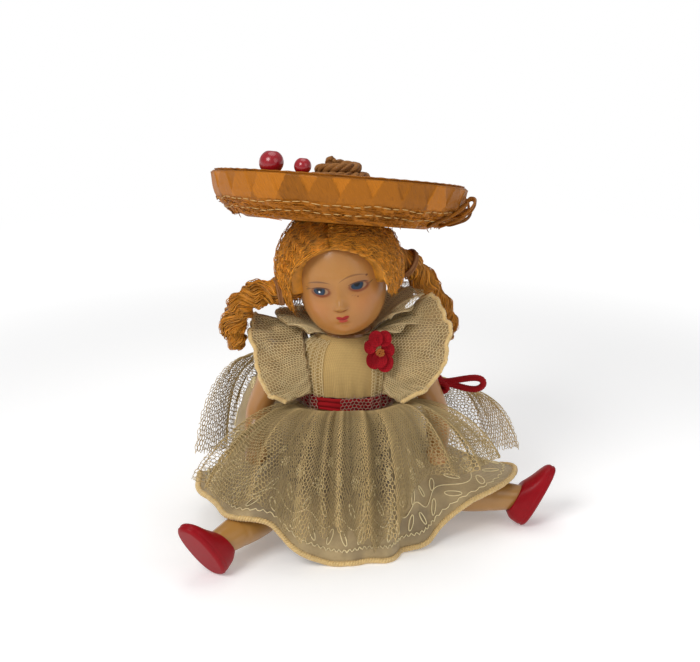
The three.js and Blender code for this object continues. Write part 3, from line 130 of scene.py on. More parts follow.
# A painted highlight on one eye, then brows, lashes and marks, in the order of painting: tool, place and sizes, ink and
# strength
FACE_MARKS = [
    ("spot", (-4.92, -0.82, 0.24, 0.24, 0.0, 0.4), (240, 240, 240), 1.0),
    ("stroke", (-4.75, 2.02, 3.3, 0.27, 0.0, 0.075), (112, 74, 44), 0.8),
    ("stroke", (4.3, 2.52, 3.9, 0.25, 0.0, 0.09), (120, 80, 48), 0.75),
    ("spot", (7.8, 1.32, 0.3, 0.26, 0.0, 0.4), (92, 52, 36), 0.9),
    ("stroke", (-7.8, -0.2, 0.95, 0.2, 0.35, 0.0), (104, 74, 44), 0.75),
    ("stroke", (-8.1, 0.25, 0.7, 0.14, -0.25, 0.0), (110, 80, 50), 0.6),
    ("stroke", (8.35, -0.95, 0.85, 0.2, 0.35, 0.0), (96, 70, 44), 0.75),
    ("spot", (3.5, -2.75, 0.3, 0.1, 0.3, 0.5), (130, 90, 54), 0.6),
    ("spot", (4.2, -2.95, 0.3, 0.1, 0.3, 0.5), (130, 90, 54), 0.6),
    ("spot", (4.83, -3.34, 0.19, 0.19, 0.0, 0.4), (110, 58, 34), 0.9),
]

# Soft forms of the face: place across, level, width, height and how far each stands out
FACE_FORMS = [
    (0, -4.9, 1.5, 1.5, 1.5),
    (0, -2.5, 1.2, 2.8, 0.7),
    (5.5, -0.6, 2.4, 1.6, -0.6),
    (-4.4, -0.6, 2.4, 1.6, -0.6),
    (6.4, -5.6, 3.2, 3, 0.6),
    (-6.4, -5.6, 3.2, 3, 0.6),
    (0, -8.5, 2, 1.3, 0.7),
    (0, -12.4, 2.4, 1.6, 0.7),
    (1.25, -5.5, 0.75, 0.65, 0.45),
    (-1.25, -5.5, 0.75, 0.65, 0.45),
    (0, -6.9, 0.55, 0.7, -0.15),
    (0.6, -8.2, 0.95, 0.5, 0.06),
    (-0.6, -8.2, 0.95, 0.5, 0.06),
    (0, -8.65, 1.7, 0.2, -0.14),
    (0, -9.2, 1.2, 0.6, 0.2),
    (0, -10.3, 1.5, 0.6, -0.35),
    (5.5, -0.85, 1.8, 1.0, 0.42),
    (-4.4, -0.85, 1.8, 1.0, 0.42),
    (5.5, 0.62, 2.3, 0.3, 0.24),
    (-4.4, 0.62, 2.3, 0.3, 0.24),
    (5.5, -2.3, 2.0, 0.32, 0.2),
    (-4.4, -2.3, 2.0, 0.32, 0.2),
    (4.4, 2.2, 3.4, 0.8, 0.22),
    (-4.4, 2.2, 3.4, 0.8, 0.22),
]

# Hair
WIG_HALF_WIDTH = 16.4
WIG_FRONT = 14.6
WIG_BACK = 16.6
WIG_HALF_HEIGHT = 17.2
WIG_NAPE = -11.0
WIG_EDGE_RISE = math.radians(20)
FRINGE_LEVEL = 10.8
FACE_OPENING = 12.6
OPENING_BACK = -4.0
# Pigtails: place from the head's centre, and radius
RIGHT_PIGTAIL = [
    (-10.9, -0.6, -4, 3),
    (-15, -1.4, -5.2, 2.6),
    (-19.3, -2, -5.3, 3.4),
    (-24, -2, -6.9, 3.5),
    (-27.2, -2, -10.5, 3.5),
    (-28.5, -2, -15.5, 3.4),
    (-27.4, -2, -19.5, 2.6),
    (-26.2, -2, -21.1, 1.2),
]
LEFT_PIGTAIL = [
    (12.6, 5, 2.5, 3.2),
    (16.8, 6.6, 1.1, 2.8),
    (20.4, 9, -3.5, 3.4),
    (24.4, 11.5, -9.5, 3.4),
    (27.6, 12, -15.3, 3.3),
    (29.2, 12, -19.9, 3.1),
    (28.8, 12, -22.7, 2.2),
    (28.2, 12, -24.1, 1.2),
]

# Hat
HAT_CENTRE = np.array([-2.8, 0.5, 87.2])
HAT_TILT_BACK = math.radians(-16)
HAT_ROLL = math.radians(4.4)
STRAW = 0.9
PLAIT_WIDTH = 2.2
CROWN_RADIUS = 12.9
CROWN_HEIGHT = 9.5
BRIM_HOLE = 12.4
BRIM_FLAT_RADIUS = 24.0
RIM_FOOT = (26.5, 1.2)
RIM_MIDDLE = (30.35, 6.6)
RIM_TOP = (33.2, 12.0)
# The roof over the hair: distance from the hat's axis, and level
HAT_ROOF = [(0, 8.0), (7.7, 7.8), (10.4, 6.2), (11.5, 3.2), (11.9, -0.35), (60, -0.35)]
# Open loops of the plait: place round the rim, level up it and how far each stands out
PLAIT_LOOPS = [
    (-0.5, 0.24, 0.5),
    (-0.4, 0.5, 0.8),
    (-0.3, 0.3, 0.9),
    (-0.2, 0.62, 1.1),
    (-0.12, 0.36, 1.1),
    (-0.03, 0.66, 1.2),
    (0.05, 0.4, 1.1),
    (0.15, 0.6, 0.9),
    (0.26, 0.4, 0.6),
]
# Loose straws: count, slant, droop, lowest and highest place up the band, and thickness
FRAYED_STRAWS = [(520, 0.2, 0.05, 0.0, 0.42, 0.2), (110, 0.08, 0.12, 0.0, 0.12, 0.14)]
ROPE_RADIUS = 1.35
ROPE_LOOPS = 2
ROPE_OUTER_RADIUS = 8.0
ROPE_INNER_RADIUS = 3.4
ROPE_RISE = 4.8
ROPE_START = math.radians(150)
# Berries: place across the brim, and radius
BERRIES = {"large": (-17.6, 3.1), "small": (-9.7, 2.15)}

# Dress: thickness of its cloths, then the sizes of skirt and net
COTTON = 0.5
ORGANZA = 0.16
SKIRT_TOP_RADIUS = 12.9
SKIRT_TOP_LEVEL = 37.2
SCALLOPS = 10
SCALLOP_DEPTH = 1.6
FOLDS = 14
FOLD_DEPTH = 0.8
NET_TOP_RADIUS = 13.9
NET_HEADING = 0.1
NET_LAYERS = 2
# How far each layer of net is turned in its own plane
LAYER_TURNS = [math.radians(turn) for turn in (6, -14, 31)]
# Azimuth from the front, then the radius and level that lead the cloth off the waist, then the hem's
SKIRT_ROWS = [
    (-180, 21, 35, 37, 0.9),
    (-140, 21, 35, 38.4, 1.2),
    (-110, 16, 27, 42, 8),
    (-92, 15, 20, 42, 13.6),
    (-72, 15, 21, 41, 13.4),
    (-56, 18, 30, 39.4, 13.4),
    (-38, 20, 34, 36.6, 13.2),
    (-27, 20, 35, 31, 6),
    (-10, 20, 35, 28.2, 0.9),
    (12, 20, 35, 27, 0.9),
    (36, 20, 35, 26.6, 0.9),
    (58, 18, 32, 28, 3.4),
    (74, 15, 22, 38.4, 12.6),
    (90, 15, 20, 47.4, 15),
    (106, 16, 24, 45.5, 11.8),
    (124, 20, 33, 42, 4),
    (150, 21, 35, 38, 0.9),
    (180, 21, 35, 37, 0.9),
]
# Azimuth, then where the net stands up from the waist, where it turns down, and its hem
NET_ROWS = [
    (-252, 22, 36.5, 47, 41, 53, 14),
    (-235, 22, 37.5, 46, 40, 50, 9),
    (-210, 20, 39, 40, 38, 42, 6),
    (-180, 20, 40, 39, 38, 40, 5),
    (-150, 20, 42, 40, 41, 41.5, 6),
    (-125, 22, 51, 42, 44, 44.5, 11),
    (-108, 24, 56, 41, 48, 44.8, 13.5),
    (-76, 20, 40, 36, 32, 42, 17.5),
    (-64, 20, 41, 35, 32, 40.8, 17.4),
    (-40, 20, 45, 36, 35, 39.4, 16.6),
    (-24, 20, 47, 33, 33, 34, 9.6),
    (0, 20, 49, 31, 32, 30.6, 5),
    (20, 20, 48, 30, 31, 29.6, 5),
    (30, 20, 47, 29, 33, 29.4, 10),
    (40, 20, 46, 30, 37, 32, 23.5),
    (52, 20, 46, 34, 38, 38, 25),
    (66, 20, 43, 36, 36.5, 42, 25.2),
    (78, 20, 42, 36, 37, 43.6, 25.2),
]
# Collars: places along the seam, then along each free edge
FRILL_SEAM = [
    (9.3, -9, 42.4),
    (10, -8.9, 48),
    (11, -8.2, 53),
    (11.8, -1, 58.2),
    (11.2, 6, 56.6),
    (10, 9.2, 48),
    (9.3, 9.4, 42.4),
]
FRILL_EDGES = {
    "left": [
        (14.5, -13.8, 41.6),
        (22, -12.8, 46.5),
        (26.4, -10.6, 53.5),
        (26.6, -5, 61),
        (22.8, 0.2, 67),
        (18.4, 4.6, 62.4),
        (16.6, 10, 52),
        (13, 13, 42.6),
    ],
    "right": [
        (16.2, -14, 41.8),
        (21, -13.4, 44.4),
        (24.2, -10.8, 52.4),
        (25.4, -4, 58.6),
        (24.8, 2, 61),
        (22, 8, 56),
        (18.4, 12, 49),
        (13, 13, 42.6),
    ],
}
# A scallop's embroidery: place across, share of the way down, then a leaf's slant or a petal's size
EMBROIDERED_LEAVES = [
    (-0.26, 0.77, 0.9),
    (-0.17, 0.89, 2.3),
    (-0.1, 0.77, 2.2),
    (-0.03, 0.89, 0.8),
    (0.06, 0.77, 0.9),
    (0.14, 0.89, 2.3),
    (0.21, 0.77, 2.2),
    (0.28, 0.89, 0.8),
]
EMBROIDERED_FLOWERS = [(-0.02, 0.66, 0.024), (0.22, 0.6, 0.018), (-0.22, 0.62, 0.018), (0.1, 0.5, 0.015)]
# Each tier of a neck ruffle: the azimuth where it starts, its span, how far it reaches out and stands up,
# and the share of it that has organza behind
NECK_RUFFLES = {
    "left": [(60, 95, 15.0, 10.5, 0.8), (40, 108, 14.0, 4.0, 0.9)],
    "right": [(46, 102, 12.4, 4.4, 1.0)],
}
# Panels of net: start and end azimuth, and how much painted shade darkens the under layer
NET_PANELS = {
    "net_right": (-76, -24, 0.4),
    "net_middle": (-24, 24, 0.4),
    "net_left": (24, 76, 0.4),
    "net_back_left": (-250, -180, 0.0),
    "net_back_right": (-180, -108, 0.0),
}
BOW_CENTRE = np.array([13.2, 8.0, 40.6])
# Loops of the bow: piece, length, dip and turn in degrees, and node
BOW_LOOPS = [("bow_left_look", 24, 11, -3, "bow_left_loop"), ("bow_right_look", 19, -8, 140, "bow_right_loop")]
FLOWER_CENTRE = np.array([8.8, -11.1, 55.6])
# Petals of the flower: angle in degrees, reach from the middle, size and lift
FLOWER_PETALS = [
    (112, 4.0, 2.2, 0.5),
    (70, 3.9, 2.2, 0.25),
    (158, 3.6, 1.9, 0.3),
    (10, 2.5, 2.1, 0.1),
    (232, 3.2, 2.5, -0.1),
    (296, 3.4, 2.7, 0.15),
    (266, 2.2, 2.3, 0.5),
]
STAMENS = 20
STAMEN_RADII = np.array([0.2, 0.2, 0.22, 0.28, 0.3, 0.12])
GOLDEN_ANGLE = 2.39996

# Stage: half the floor's width, then each lamp's place, aim, width and power, then the camera
FLOOR_HALF = 2500
LAMPS = {
    "key_light": ((-380, -520, 600), (0, 0, 50), 420, 3.9),
    "fill_light": ((520, -420, 420), (0, 0, 50), 500, 0.7),
    "top_light": ((40, 160, 760), (0, 0, 40), 600, 1.6),
}
CAMERA_AIM = np.array([0.8, 0, 57])
CAMERA_AWAY = 450
CAMERA_RISE = math.radians(20)
CAMERA_LENS = 85.63

SEED = 20


def linear(red, green, blue):
    """Turns a colour of 0 to 255 as seen on screen into linear light."""
    shares = [channel / 255 for channel in (red, green, blue)]
    return [c / 12.92 if c <= 0.04045 else ((c + 0.055) / 1.055) ** 2.4 for c in shares]


# ---------------------------------------------------------------- shapes


def curve_at(rows, places, column):
    """A smooth value through rows of (place, value, ...), held level past both ends."""
    rows = np.asarray(rows, float)
    places = np.asarray(places, float)
    k = np.clip(np.searchsorted(rows[1:, 0], places, side="left"), 0, len(rows) - 2)
    a, b = rows[k], rows[k + 1]
    before = rows[np.maximum(k - 1, 0)]
    after = rows[np.minimum(k + 2, len(rows) - 1)]
    span = b[..., 0] - a[..., 0]
    t = np.clip((places - a[..., 0]) / span, 0, 1)
    leave = span * (b[..., column] - before[..., column]) / (b[..., 0] - before[..., 0])
    arrive = span * (after[..., column] - a[..., column]) / (after[..., 0] - a[..., 0])
    ends = (2 * t**3 - 3 * t**2 + 1) * a[..., column] + (3 * t**2 - 2 * t**3) * b[..., column]
    return ends + (t**3 - 2 * t**2 + t) * leave + (t**3 - t**2) * arrive


def values_along(values, places):
    """A smooth value at places from 0 to 1, through values at even steps."""
    return curve_at(np.column_stack([np.linspace(0, 1, len(values)), values]), places, 1)


def spline(points, places):
    """Points on a centripetal spline through points, at places from 0 to 1."""
    points = np.asarray(points, float)
    last = len(points) - 1
    whole = np.clip(np.asarray(places, float), 0, 1) * last
    k = np.minimum(np.floor(whole).astype(int), last - 1)
    t = (whole - k)[..., None]
    padded = np.vstack([2 * points[0] - points[1], points, 2 * points[-1] - points[-2]])
    p0, p1, p2, p3 = (padded[k + step] for step in range(4))

    def knot(a, b):
        """The step of the spline from one point to the next."""
        return np.maximum(np.linalg.norm(b - a, axis=-1, keepdims=True), 1e-6) ** 0.5

    d0, d1, d2 = knot(p0, p1), knot(p1, p2), knot(p2, p3)
    leave = ((p1 - p0) / d0 - (p2 - p0) / (d0 + d1) + (p2 - p1) / d1) * d1
    arrive = ((p2 - p1) / d1 - (p3 - p1) / (d1 + d2) + (p3 - p2) / d2) * d1
    ends = (2 * t**3 - 3 * t**2 + 1) * p1 + (3 * t**2 - 2 * t**3) * p2
    return ends + (t**3 - 2 * t**2 + t) * leave + (t**3 - t**2) * arrive


def turn_matrix(turn):
    """A rotation about X, then Y, then Z."""
    (cx, sx), (cy, sy), (cz, sz) = ((math.cos(a), math.sin(a)) for a in turn)
    about_x = np.array([[1, 0, 0], [0, cx, -sx], [0, sx, cx]])
    about_y = np.array([[cy, 0, sy], [0, 1, 0], [-sy, 0, cy]])
    about_z = np.array([[cz, -sz, 0], [sz, cz, 0], [0, 0, 1]])
    return about_z @ about_y @ about_x


HEAD_AXES = turn_matrix(HEAD_TURN)
HAT_AXES = turn_matrix((0, HAT_ROLL, 0)) @ turn_matrix((HAT_TILT_BACK, 0, 0))


def from_head(points):
    """Head places turned into the shared frame."""
    return points @ HEAD_AXES.T + HEAD_CENTRE


def from_hat(points):
    """Hat places turned into the shared frame."""
    return points @ HAT_AXES.T + HAT_CENTRE


def to_hat(points):
    """Shared places turned into the hat's own."""
    return (points - HAT_CENTRE) @ HAT_AXES


def unit(vectors):
    """Vectors of length one."""
    return vectors / np.maximum(np.linalg.norm(vectors, axis=-1, keepdims=True), 1e-9)


def even_angles(count):
    """Angles spaced evenly round a circle."""
    return np.arange(count) * 2 * math.pi / count


def lengths_along(route):
    """How far each place of a route is from its start."""
    return np.concatenate([[0], np.cumsum(np.linalg.norm(np.diff(route, axis=0), axis=1))])


def evenly(route, count, closed=False):
    """Places spaced evenly along a route."""
    if closed:
        route = np.vstack([route, route[:1]])
    lengths = lengths_along(route)
    at = np.linspace(0, lengths[-1], count, endpoint=not closed)
    return np.column_stack([np.interp(at, lengths, column) for column in route.T])


def ring_axes(along):
    """Two directions square to a line and to each other."""
    first = unit(np.cross(along, np.array([0, 1.0, 0])))
    return first, np.cross(along, first)


def grid_faces(rows, columns, wrapped=False):
    """Quads of a grid of points laid row by row."""
    across = columns if wrapped else columns - 1
    j, i = np.meshgrid(np.arange(rows - 1), np.arange(across), indexing="ij")
    a = j * columns + i
    b = j * columns + (i + 1) % columns
    return np.stack([a, b, b + columns, a + columns], -1).reshape(-1, 4)


def capped_faces(rows, columns):
    """Faces of a wrapped grid of points, with both its ends closed."""
    first = np.arange(columns)[None, ::-1]
    last = ((rows - 1) * columns + np.arange(columns))[None]
    return [grid_faces(rows, columns, True), first, last]


def grid_normals(grid, wrapped=False):
    """Unit normals of a grid of points, from its rows and columns."""
    along_rows = np.gradient(grid, axis=0)
    if wrapped:
        along_columns = (np.roll(grid, -1, axis=1) - np.roll(grid, 1, axis=1)) / 2
    else:
        along_columns = np.gradient(grid, axis=1)
    return unit(np.cross(along_columns, along_rows))


def tubes(routes, radii, sides, closed=False):
    """Round tubes along routes of equal count: their points, quads and end caps."""
    routes = np.asarray(routes, float)
    count, steps = routes.shape[:2]
    radii = np.broadcast_to(np.asarray(radii, float), (count, steps))
    if closed:
        tangents = unit(np.roll(routes, -1, axis=1) - np.roll(routes, 1, axis=1))
    else:
        tangents = unit(np.gradient(routes, axis=1))
    steep = np.abs(tangents[:, :1, 2:]) > 0.9
    aside = np.where(steep, np.array([1.0, 0, 0]), np.array([0, 0, 1.0]))[:, 0]
    normals = np.zeros_like(routes)
    current = np.cross(aside, tangents[:, 0])
    for k in range(steps):
        current = current - (current * tangents[:, k]).sum(-1, keepdims=True) * tangents[:, k]
        current = unit(current)
        normals[:, k] = current
    binormals = np.cross(tangents, normals)
    angles = even_angles(sides)
    spokes = normals[:, :, None] * np.cos(angles)[:, None] + binormals[:, :, None] * np.sin(angles)[:, None]
    points = routes[:, :, None] + spokes * radii[:, :, None, None]
    one = grid_faces(steps + 1 if closed else steps, sides, True)
    if closed:
        one = one % (steps * sides)
    starts = np.arange(count) * steps * sides
    quads = (one[None] + starts[:, None, None]).reshape(-1, 4)
    caps = []
    if not closed:
        ring = np.arange(sides)
        caps.append(starts[:, None] + ring[::-1])
        caps.append(starts[:, None] + (steps - 1) * sides + ring)
    return points.reshape(-1, 3), [quads] + caps


def polyline_edges(count, steps, closed=False):
    """Edges of polylines of equal count."""
    k = np.arange(steps if closed else steps - 1)
    one = np.stack([k, (k + 1) % steps], -1)
    return (one[None] + (np.arange(count) * steps)[:, None, None]).reshape(-1, 2)


def make_mesh(name, points, faces=(), edges=None, values=None):
    """A mesh from places in millimetres, lists of faces, loose edges and values at its points."""
    mesh = bpy.data.meshes.new(name)
    points = np.asarray(points, float).reshape(-1, 3) * MM
    mesh.vertices.add(len(points))
    mesh.vertices.foreach_set("co", points.ravel())
    faces = [np.asarray(block, np.int32) for block in faces if len(block)]
    if faces:
        totals = np.concatenate([np.full(len(block), block.shape[1]) for block in faces])
        corners = np.concatenate([block.ravel() for block in faces])
        mesh.loops.add(len(corners))
        mesh.loops.foreach_set("vertex_index", corners)
        mesh.polygons.add(len(totals))
        starts = np.concatenate([[0], np.cumsum(totals)[:-1]])
        mesh.polygons.foreach_set("loop_start", starts.astype(np.int32))
        mesh.polygons.foreach_set("use_smooth", np.ones(len(totals), bool))
    if edges is not None:
        mesh.edges.add(len(edges))
        mesh.edges.foreach_set("vertices", np.asarray(edges, np.int32).ravel())
    for key, numbers in (values or {}).items():
        numbers = np.asarray(numbers, np.float32)
        if numbers.ndim == 1:
            mesh.attributes.new(key, "FLOAT", "POINT").data.foreach_set("value", numbers)
        else:
            mesh.attributes.new(key, "FLOAT_VECTOR", "POINT").data.foreach_set("vector", numbers.ravel())
    mesh.update(calc_edges=bool(faces))
    return mesh


def face_outward(mesh):
    """Turns a closed mesh so that its faces point outward."""
    places = np.zeros(len(mesh.vertices) * 3)
    mesh.vertices.foreach_get("co", places)
    places = places.reshape(-1, 3)
    mesh.calc_loop_triangles()
    corners = np.zeros(len(mesh.loop_triangles) * 3, np.int32)
    mesh.loop_triangles.foreach_get("vertices", corners)
    a, b, c = (places[corners[k::3]] for k in range(3))
    if (a * np.cross(b, c)).sum() < 0:
        mesh.flip_normals()


def add_piece(name, mesh, material):
    """An object of that mesh and material, linked to the scene."""
    piece = bpy.data.objects.new(name, mesh)
    bpy.context.scene.collection.objects.link(piece)
    mesh.materials.clear()
    mesh.materials.append(material)
    return piece


def plain_piece(name, points, faces, material, values=None):
    """A piece from places, faces and values at its points."""
    return add_piece(name, make_mesh(name, points, faces, values=values), material)


def closed_piece(name, points, faces, material, values=None):
    """A closed piece whose faces point outward."""
    piece = plain_piece(name, points, faces, material, values)
    face_outward(piece.data)
    return piece


def join_parts(parts):
    """Several (points, faces, values) joined into one."""
    points, faces, values, start = [], [], {}, 0
    for part_points, part_faces, part_values in parts:
        part_points = np.asarray(part_points, float).reshape(-1, 3)
        points.append(part_points)
        faces.extend(block + start for block in part_faces)
        for key, numbers in part_values.items():
            values.setdefault(key, []).append(np.broadcast_to(numbers, (len(part_points),)))
        start += len(part_points)
    joined = {key: np.concatenate(blocks) for key, blocks in values.items()}
    return np.concatenate(points), faces, joined


def join_plain(parts):
    """Several (points, faces) joined into one."""
    points, faces, _ = join_parts([(places, blocks, {}) for places, blocks in parts])
    return points, faces


def shell(grid, thickness, wrapped=False):
    """A cloth of even thickness on a grid of points, with its edges closed."""
    rows, columns = grid.shape[:2]
    normals = grid_normals(grid, wrapped)
    points = np.concatenate([
        (grid + normals * thickness / 2).reshape(-1, 3),
        (grid - normals * thickness / 2).reshape(-1, 3),
    ])
    far = rows * columns
    front = grid_faces(rows, columns, wrapped)
    back = front[:, ::-1] + far
    loops = []
    i = np.arange(columns if wrapped else columns - 1)
    following = (i + 1) % columns
    loops.append(np.stack([following, i, i + far, following + far], -1))
    top = (rows - 1) * columns
    loops.append(np.stack([top + i, top + following, top + following + far, top + i + far], -1))
    if not wrapped:
        j = np.arange(rows - 1) * columns
        loops.append(np.stack([j, j + columns, j + columns + far, j + far], -1))
        end = j + columns - 1
        loops.append(np.stack([end + columns, end, end + far, end + columns + far], -1))
    return points, [front, back] + loops


def twisted_cord(route, radius, lay, sides=6, closed=False, strands=2):
    """Strands twisted round a route, as places and faces."""
    length = lengths_along(route)
    tangent = unit(np.gradient(route, axis=0))
    side = unit(np.cross(tangent, np.array([0.13, 0.21, 1.0])))
    over = np.cross(side, tangent)
    parts = []
    for k in range(strands):
        twist = 2 * math.pi * (length / lay + k / strands)
        strand = route + radius * 0.58 * (np.cos(twist)[:, None] * side + np.sin(twist)[:, None] * over)
        parts.append(tubes(strand[None], radius * 0.56, sides, closed))
    return join_plain(parts)


def hex_lattice(width, height, cell):
    """Points of a hexagonal net over a width and height, with the edges between them."""
    step = cell / math.sqrt(3)
    rows = int(height / (1.5 * step)) + 1
    columns = int(width / cell) + 1
    points, index = [], {}
    for j in range(rows):
        for i in range(columns):
            x = (i + 0.5 * (j % 2)) * cell
            y = j * 1.5 * step
            index[j, i, 0] = len(points)
            points.append((x, y))
            index[j, i, 1] = len(points)
            points.append((x, y + step))
    edges = []
    for j in range(rows):
        for i in range(columns):
            edges.append((index[j, i, 0], index[j, i, 1]))
            if j + 1 < rows:
                left = i if j % 2 else i - 1
                for k in (left, left + 1):
                    if (j + 1, k, 0) in index:
                        edges.append((index[j, i, 1], index[j + 1, k, 0]))
    return np.array(points), np.array(edges)


def turned_lattice(width, height, cell, turn):
    """A hexagonal net turned in its own plane and trimmed to a width and height."""
    size = width + height
    flat, links = hex_lattice(2 * size, 2 * size, cell)
    flat = flat - size
    x = flat[:, 0] * math.cos(turn) - flat[:, 1] * math.sin(turn) + width / 2
    y = flat[:, 0] * math.sin(turn) + flat[:, 1] * math.cos(turn) + height / 2
    keep = (x >= 0) & (x <= width) & (y >= 0) & (y <= height)
    renumber = np.cumsum(keep) - 1
    return np.column_stack([x, y])[keep], renumber[links[keep[links].all(1)]]


# ---------------------------------------------------------------- materials


class NodeWriter:
    """Writes a node tree, one node at a time."""

    def __init__(self, tree):
        self.tree = tree

    def feed(self, socket, value):
        """Links a socket or sets its value."""
        if isinstance(value, bpy.types.NodeSocket):
            self.tree.links.new(value, socket)
        elif value is not None:
            socket.default_value = value

    def add(self, kind, inputs=None, **settings):
        """A new node with its settings and inputs."""
        node = self.tree.nodes.new(kind)
        for key, value in settings.items():
            setattr(node, key, value)
        for key, value in (inputs or {}).items():
            self.feed(node.inputs[key], value)
        return node

    def math(self, operation, *values, clamp=False):
        """The result of a sum."""
        node = self.add("ShaderNodeMath", dict(enumerate(values)), operation=operation, use_clamp=clamp)
        return node.outputs[0]

    def mix(self, share, first, second):
        """Two colours mixed by a share."""
        return self.add("ShaderNodeMix", {0: share, 6: first, 7: second}, data_type="RGBA").outputs[2]

    def colour(self, value):
        """A colour given in linear light."""
        socket = self.add("ShaderNodeRGB").outputs[0]
        socket.default_value = rgba(value)
        return socket

    def ramp(self, value, low, high, start=0.0, end=1.0):
        """A value moved from one range to another, held at both ends."""
        node = self.add(
            "ShaderNodeMapRange",
            {"Value": value, "From Min": low, "From Max": high, "To Min": start, "To Max": end},
            interpolation_type="SMOOTHSTEP",
        )
        return node.outputs["Result"]

    def attribute(self, name, output="Fac"):
        """A value kept at the points of the mesh."""
        return self.add("ShaderNodeAttribute", attribute_name=name).outputs[output]

    def noise(self, place, scale, detail=3.0, roughness=0.55):
        """Soft noise of 0 to 1 at a place."""
        inputs = {"Vector": place, "Scale": scale, "Detail": detail, "Roughness": roughness}
        return self.add("ShaderNodeTexNoise", inputs).outputs[0]

    def fill(self, node, **inputs):
        """Links or sets inputs of a node, named with underscores for spaces."""
        for key, value in inputs.items():
            self.feed(node.inputs[key.replace("_", " ")], value)

    def group(self, name, **inputs):
        """The result of a shared node group."""
        node = self.add("ShaderNodeGroup", node_tree=bpy.data.node_groups[name])
        self.fill(node, **inputs)
        return node.outputs[0]


def shader_group(name, inputs, output):
    """A new shader node group with float and vector inputs and one output."""
    tree = bpy.data.node_groups.new(name, "ShaderNodeTree")
    for label, kind in inputs:
        tree.interface.new_socket(label, in_out="INPUT", socket_type=kind)
    tree.interface.new_socket(output, in_out="OUTPUT", socket_type="NodeSocketFloat")
    writer = NodeWriter(tree)
    entry = writer.add("NodeGroupInput")
    leave = writer.add("NodeGroupOutput")
    return writer, {socket.name: socket for socket in entry.outputs}, leave.inputs[0]


FLOAT = "NodeSocketFloat"
VECTOR = "NodeSocketVector"


def tilted_place(w, entry):
    """How far a place is along and across a mark that is tilted about its middle."""
    parts = w.add("ShaderNodeSeparateXYZ", {0: entry["Place"]}).outputs
    dx = w.math("SUBTRACT", parts["X"], entry["X"])
    dz = w.math("SUBTRACT", parts["Z"], entry["Z"])
    cosine = w.math("COSINE", entry["Tilt"])
    sine = w.math("SINE", entry["Tilt"])
    along = w.math("ADD", w.math("MULTIPLY", dx, cosine), w.math("MULTIPLY", dz, sine))
    across = w.math("SUBTRACT", w.math("MULTIPLY", dz, cosine), w.math("MULTIPLY", dx, sine))
    return along, across


def add_soft_spot():
    """A mask of a tilted ellipse with a soft edge, on the X and Z of a place."""
    inputs = [("Place", VECTOR), ("X", FLOAT), ("Z", FLOAT), ("Half width", FLOAT), ("Half height", FLOAT)]
    w, entry, leave = shader_group("soft_spot", inputs + [("Tilt", FLOAT), ("Edge", FLOAT)], "Mask")
    along, across = tilted_place(w, entry)
    u = w.math("POWER", w.math("DIVIDE", along, entry["Half width"]), 2.0)
    v = w.math("POWER", w.math("DIVIDE", across, entry["Half height"]), 2.0)
    away = w.math("SQRT", w.math("ADD", u, v))
    inner = w.math("SUBTRACT", 1.0, entry["Edge"])
    outer = w.math("ADD", 1.0, entry["Edge"])
    w.feed(leave, w.ramp(away, inner, outer, 1.0, 0.0))


def add_painted_stroke():
    """A mask of a bent brush stroke that thins toward its ends, on the X and Z of a place."""
    inputs = [("Place", VECTOR), ("X", FLOAT), ("Z", FLOAT), ("Half length", FLOAT), ("Half width", FLOAT)]
    w, entry, leave = shader_group("painted_stroke", inputs + [("Tilt", FLOAT), ("Bend", FLOAT)], "Mask")
    along, across = tilted_place(w, entry)
    bent = w.math("ADD", across, w.math("MULTIPLY", entry["Bend"], w.math("POWER", along, 2.0)))
    share = w.math("DIVIDE", w.math("ABSOLUTE", along), entry["Half length"])
    thin = w.math("SUBTRACT", 1.0, w.math("POWER", share, 2.0), clamp=True)
    room = w.math("ADD", w.math("MULTIPLY", thin, entry["Half width"]), 0.001)
    away = w.math("DIVIDE", w.math("ABSOLUTE", bent), room)
    w.feed(leave, w.ramp(away, 0.4, 1.3, 1.0, 0.0))


def add_mottle():
    """A value about one that wanders softly over a surface."""
    w, entry, leave = shader_group("mottle", [("Place", VECTOR), ("Scale", FLOAT), ("Depth", FLOAT)], "Tone")
    coarse = w.noise(entry["Place"], entry["Scale"], 4.0)
    fine = w.noise(entry["Place"], w.math("MULTIPLY", entry["Scale"], 6.0), 2.0)
    both = w.math("ADD", w.math("MULTIPLY", coarse, 0.7), w.math("MULTIPLY", fine, 0.3))
    w.feed(leave, w.math("MULTIPLY_ADD", w.math("SUBTRACT", both, 0.5), entry["Depth"], 1.0))


def add_weave():
    """Height of a plain weave with threads of a given spacing, on two of a place's axes."""
    w, entry, leave = shader_group("weave", [("Place", VECTOR), ("Threads", FLOAT)], "Height")
    parts = w.add("ShaderNodeSeparateXYZ", {0: entry["Place"]}).outputs
    turn = w.math("MULTIPLY", entry["Threads"], math.pi)
    warp = w.math("SINE", w.math("MULTIPLY", w.math("ADD", parts["X"], parts["Y"]), turn))
    weft = w.math("SINE", w.math("MULTIPLY", parts["Z"], turn))
    both = w.math("ADD", w.math("ABSOLUTE", warp), w.math("ABSOLUTE", weft))
    w.feed(leave, w.math("MULTIPLY", both, 0.5))


def add_fibres():
    """Streaks that run along a strand, from its place across and along."""
    w, entry, leave = shader_group("fibres", [("Place", VECTOR), ("Across", FLOAT), ("Along", FLOAT)], "Streak")
    parts = w.add("ShaderNodeSeparateXYZ", {0: entry["Place"]}).outputs
    u = w.math("MULTIPLY", parts["X"], entry["Across"])
    v = w.math("MULTIPLY", parts["Y"], entry["Along"])
    z = w.math("MULTIPLY", parts["Z"], entry["Across"])
    place = w.add("ShaderNodeCombineXYZ", {0: u, 1: v, 2: z}).outputs[0]
    w.feed(leave, w.noise(place, 1.0, 4.0, 0.6))


def add_shared_groups():
    """All the shader node groups that the materials share."""
    add_soft_spot()
    add_painted_stroke()
    add_mottle()
    add_weave()
    add_fibres()


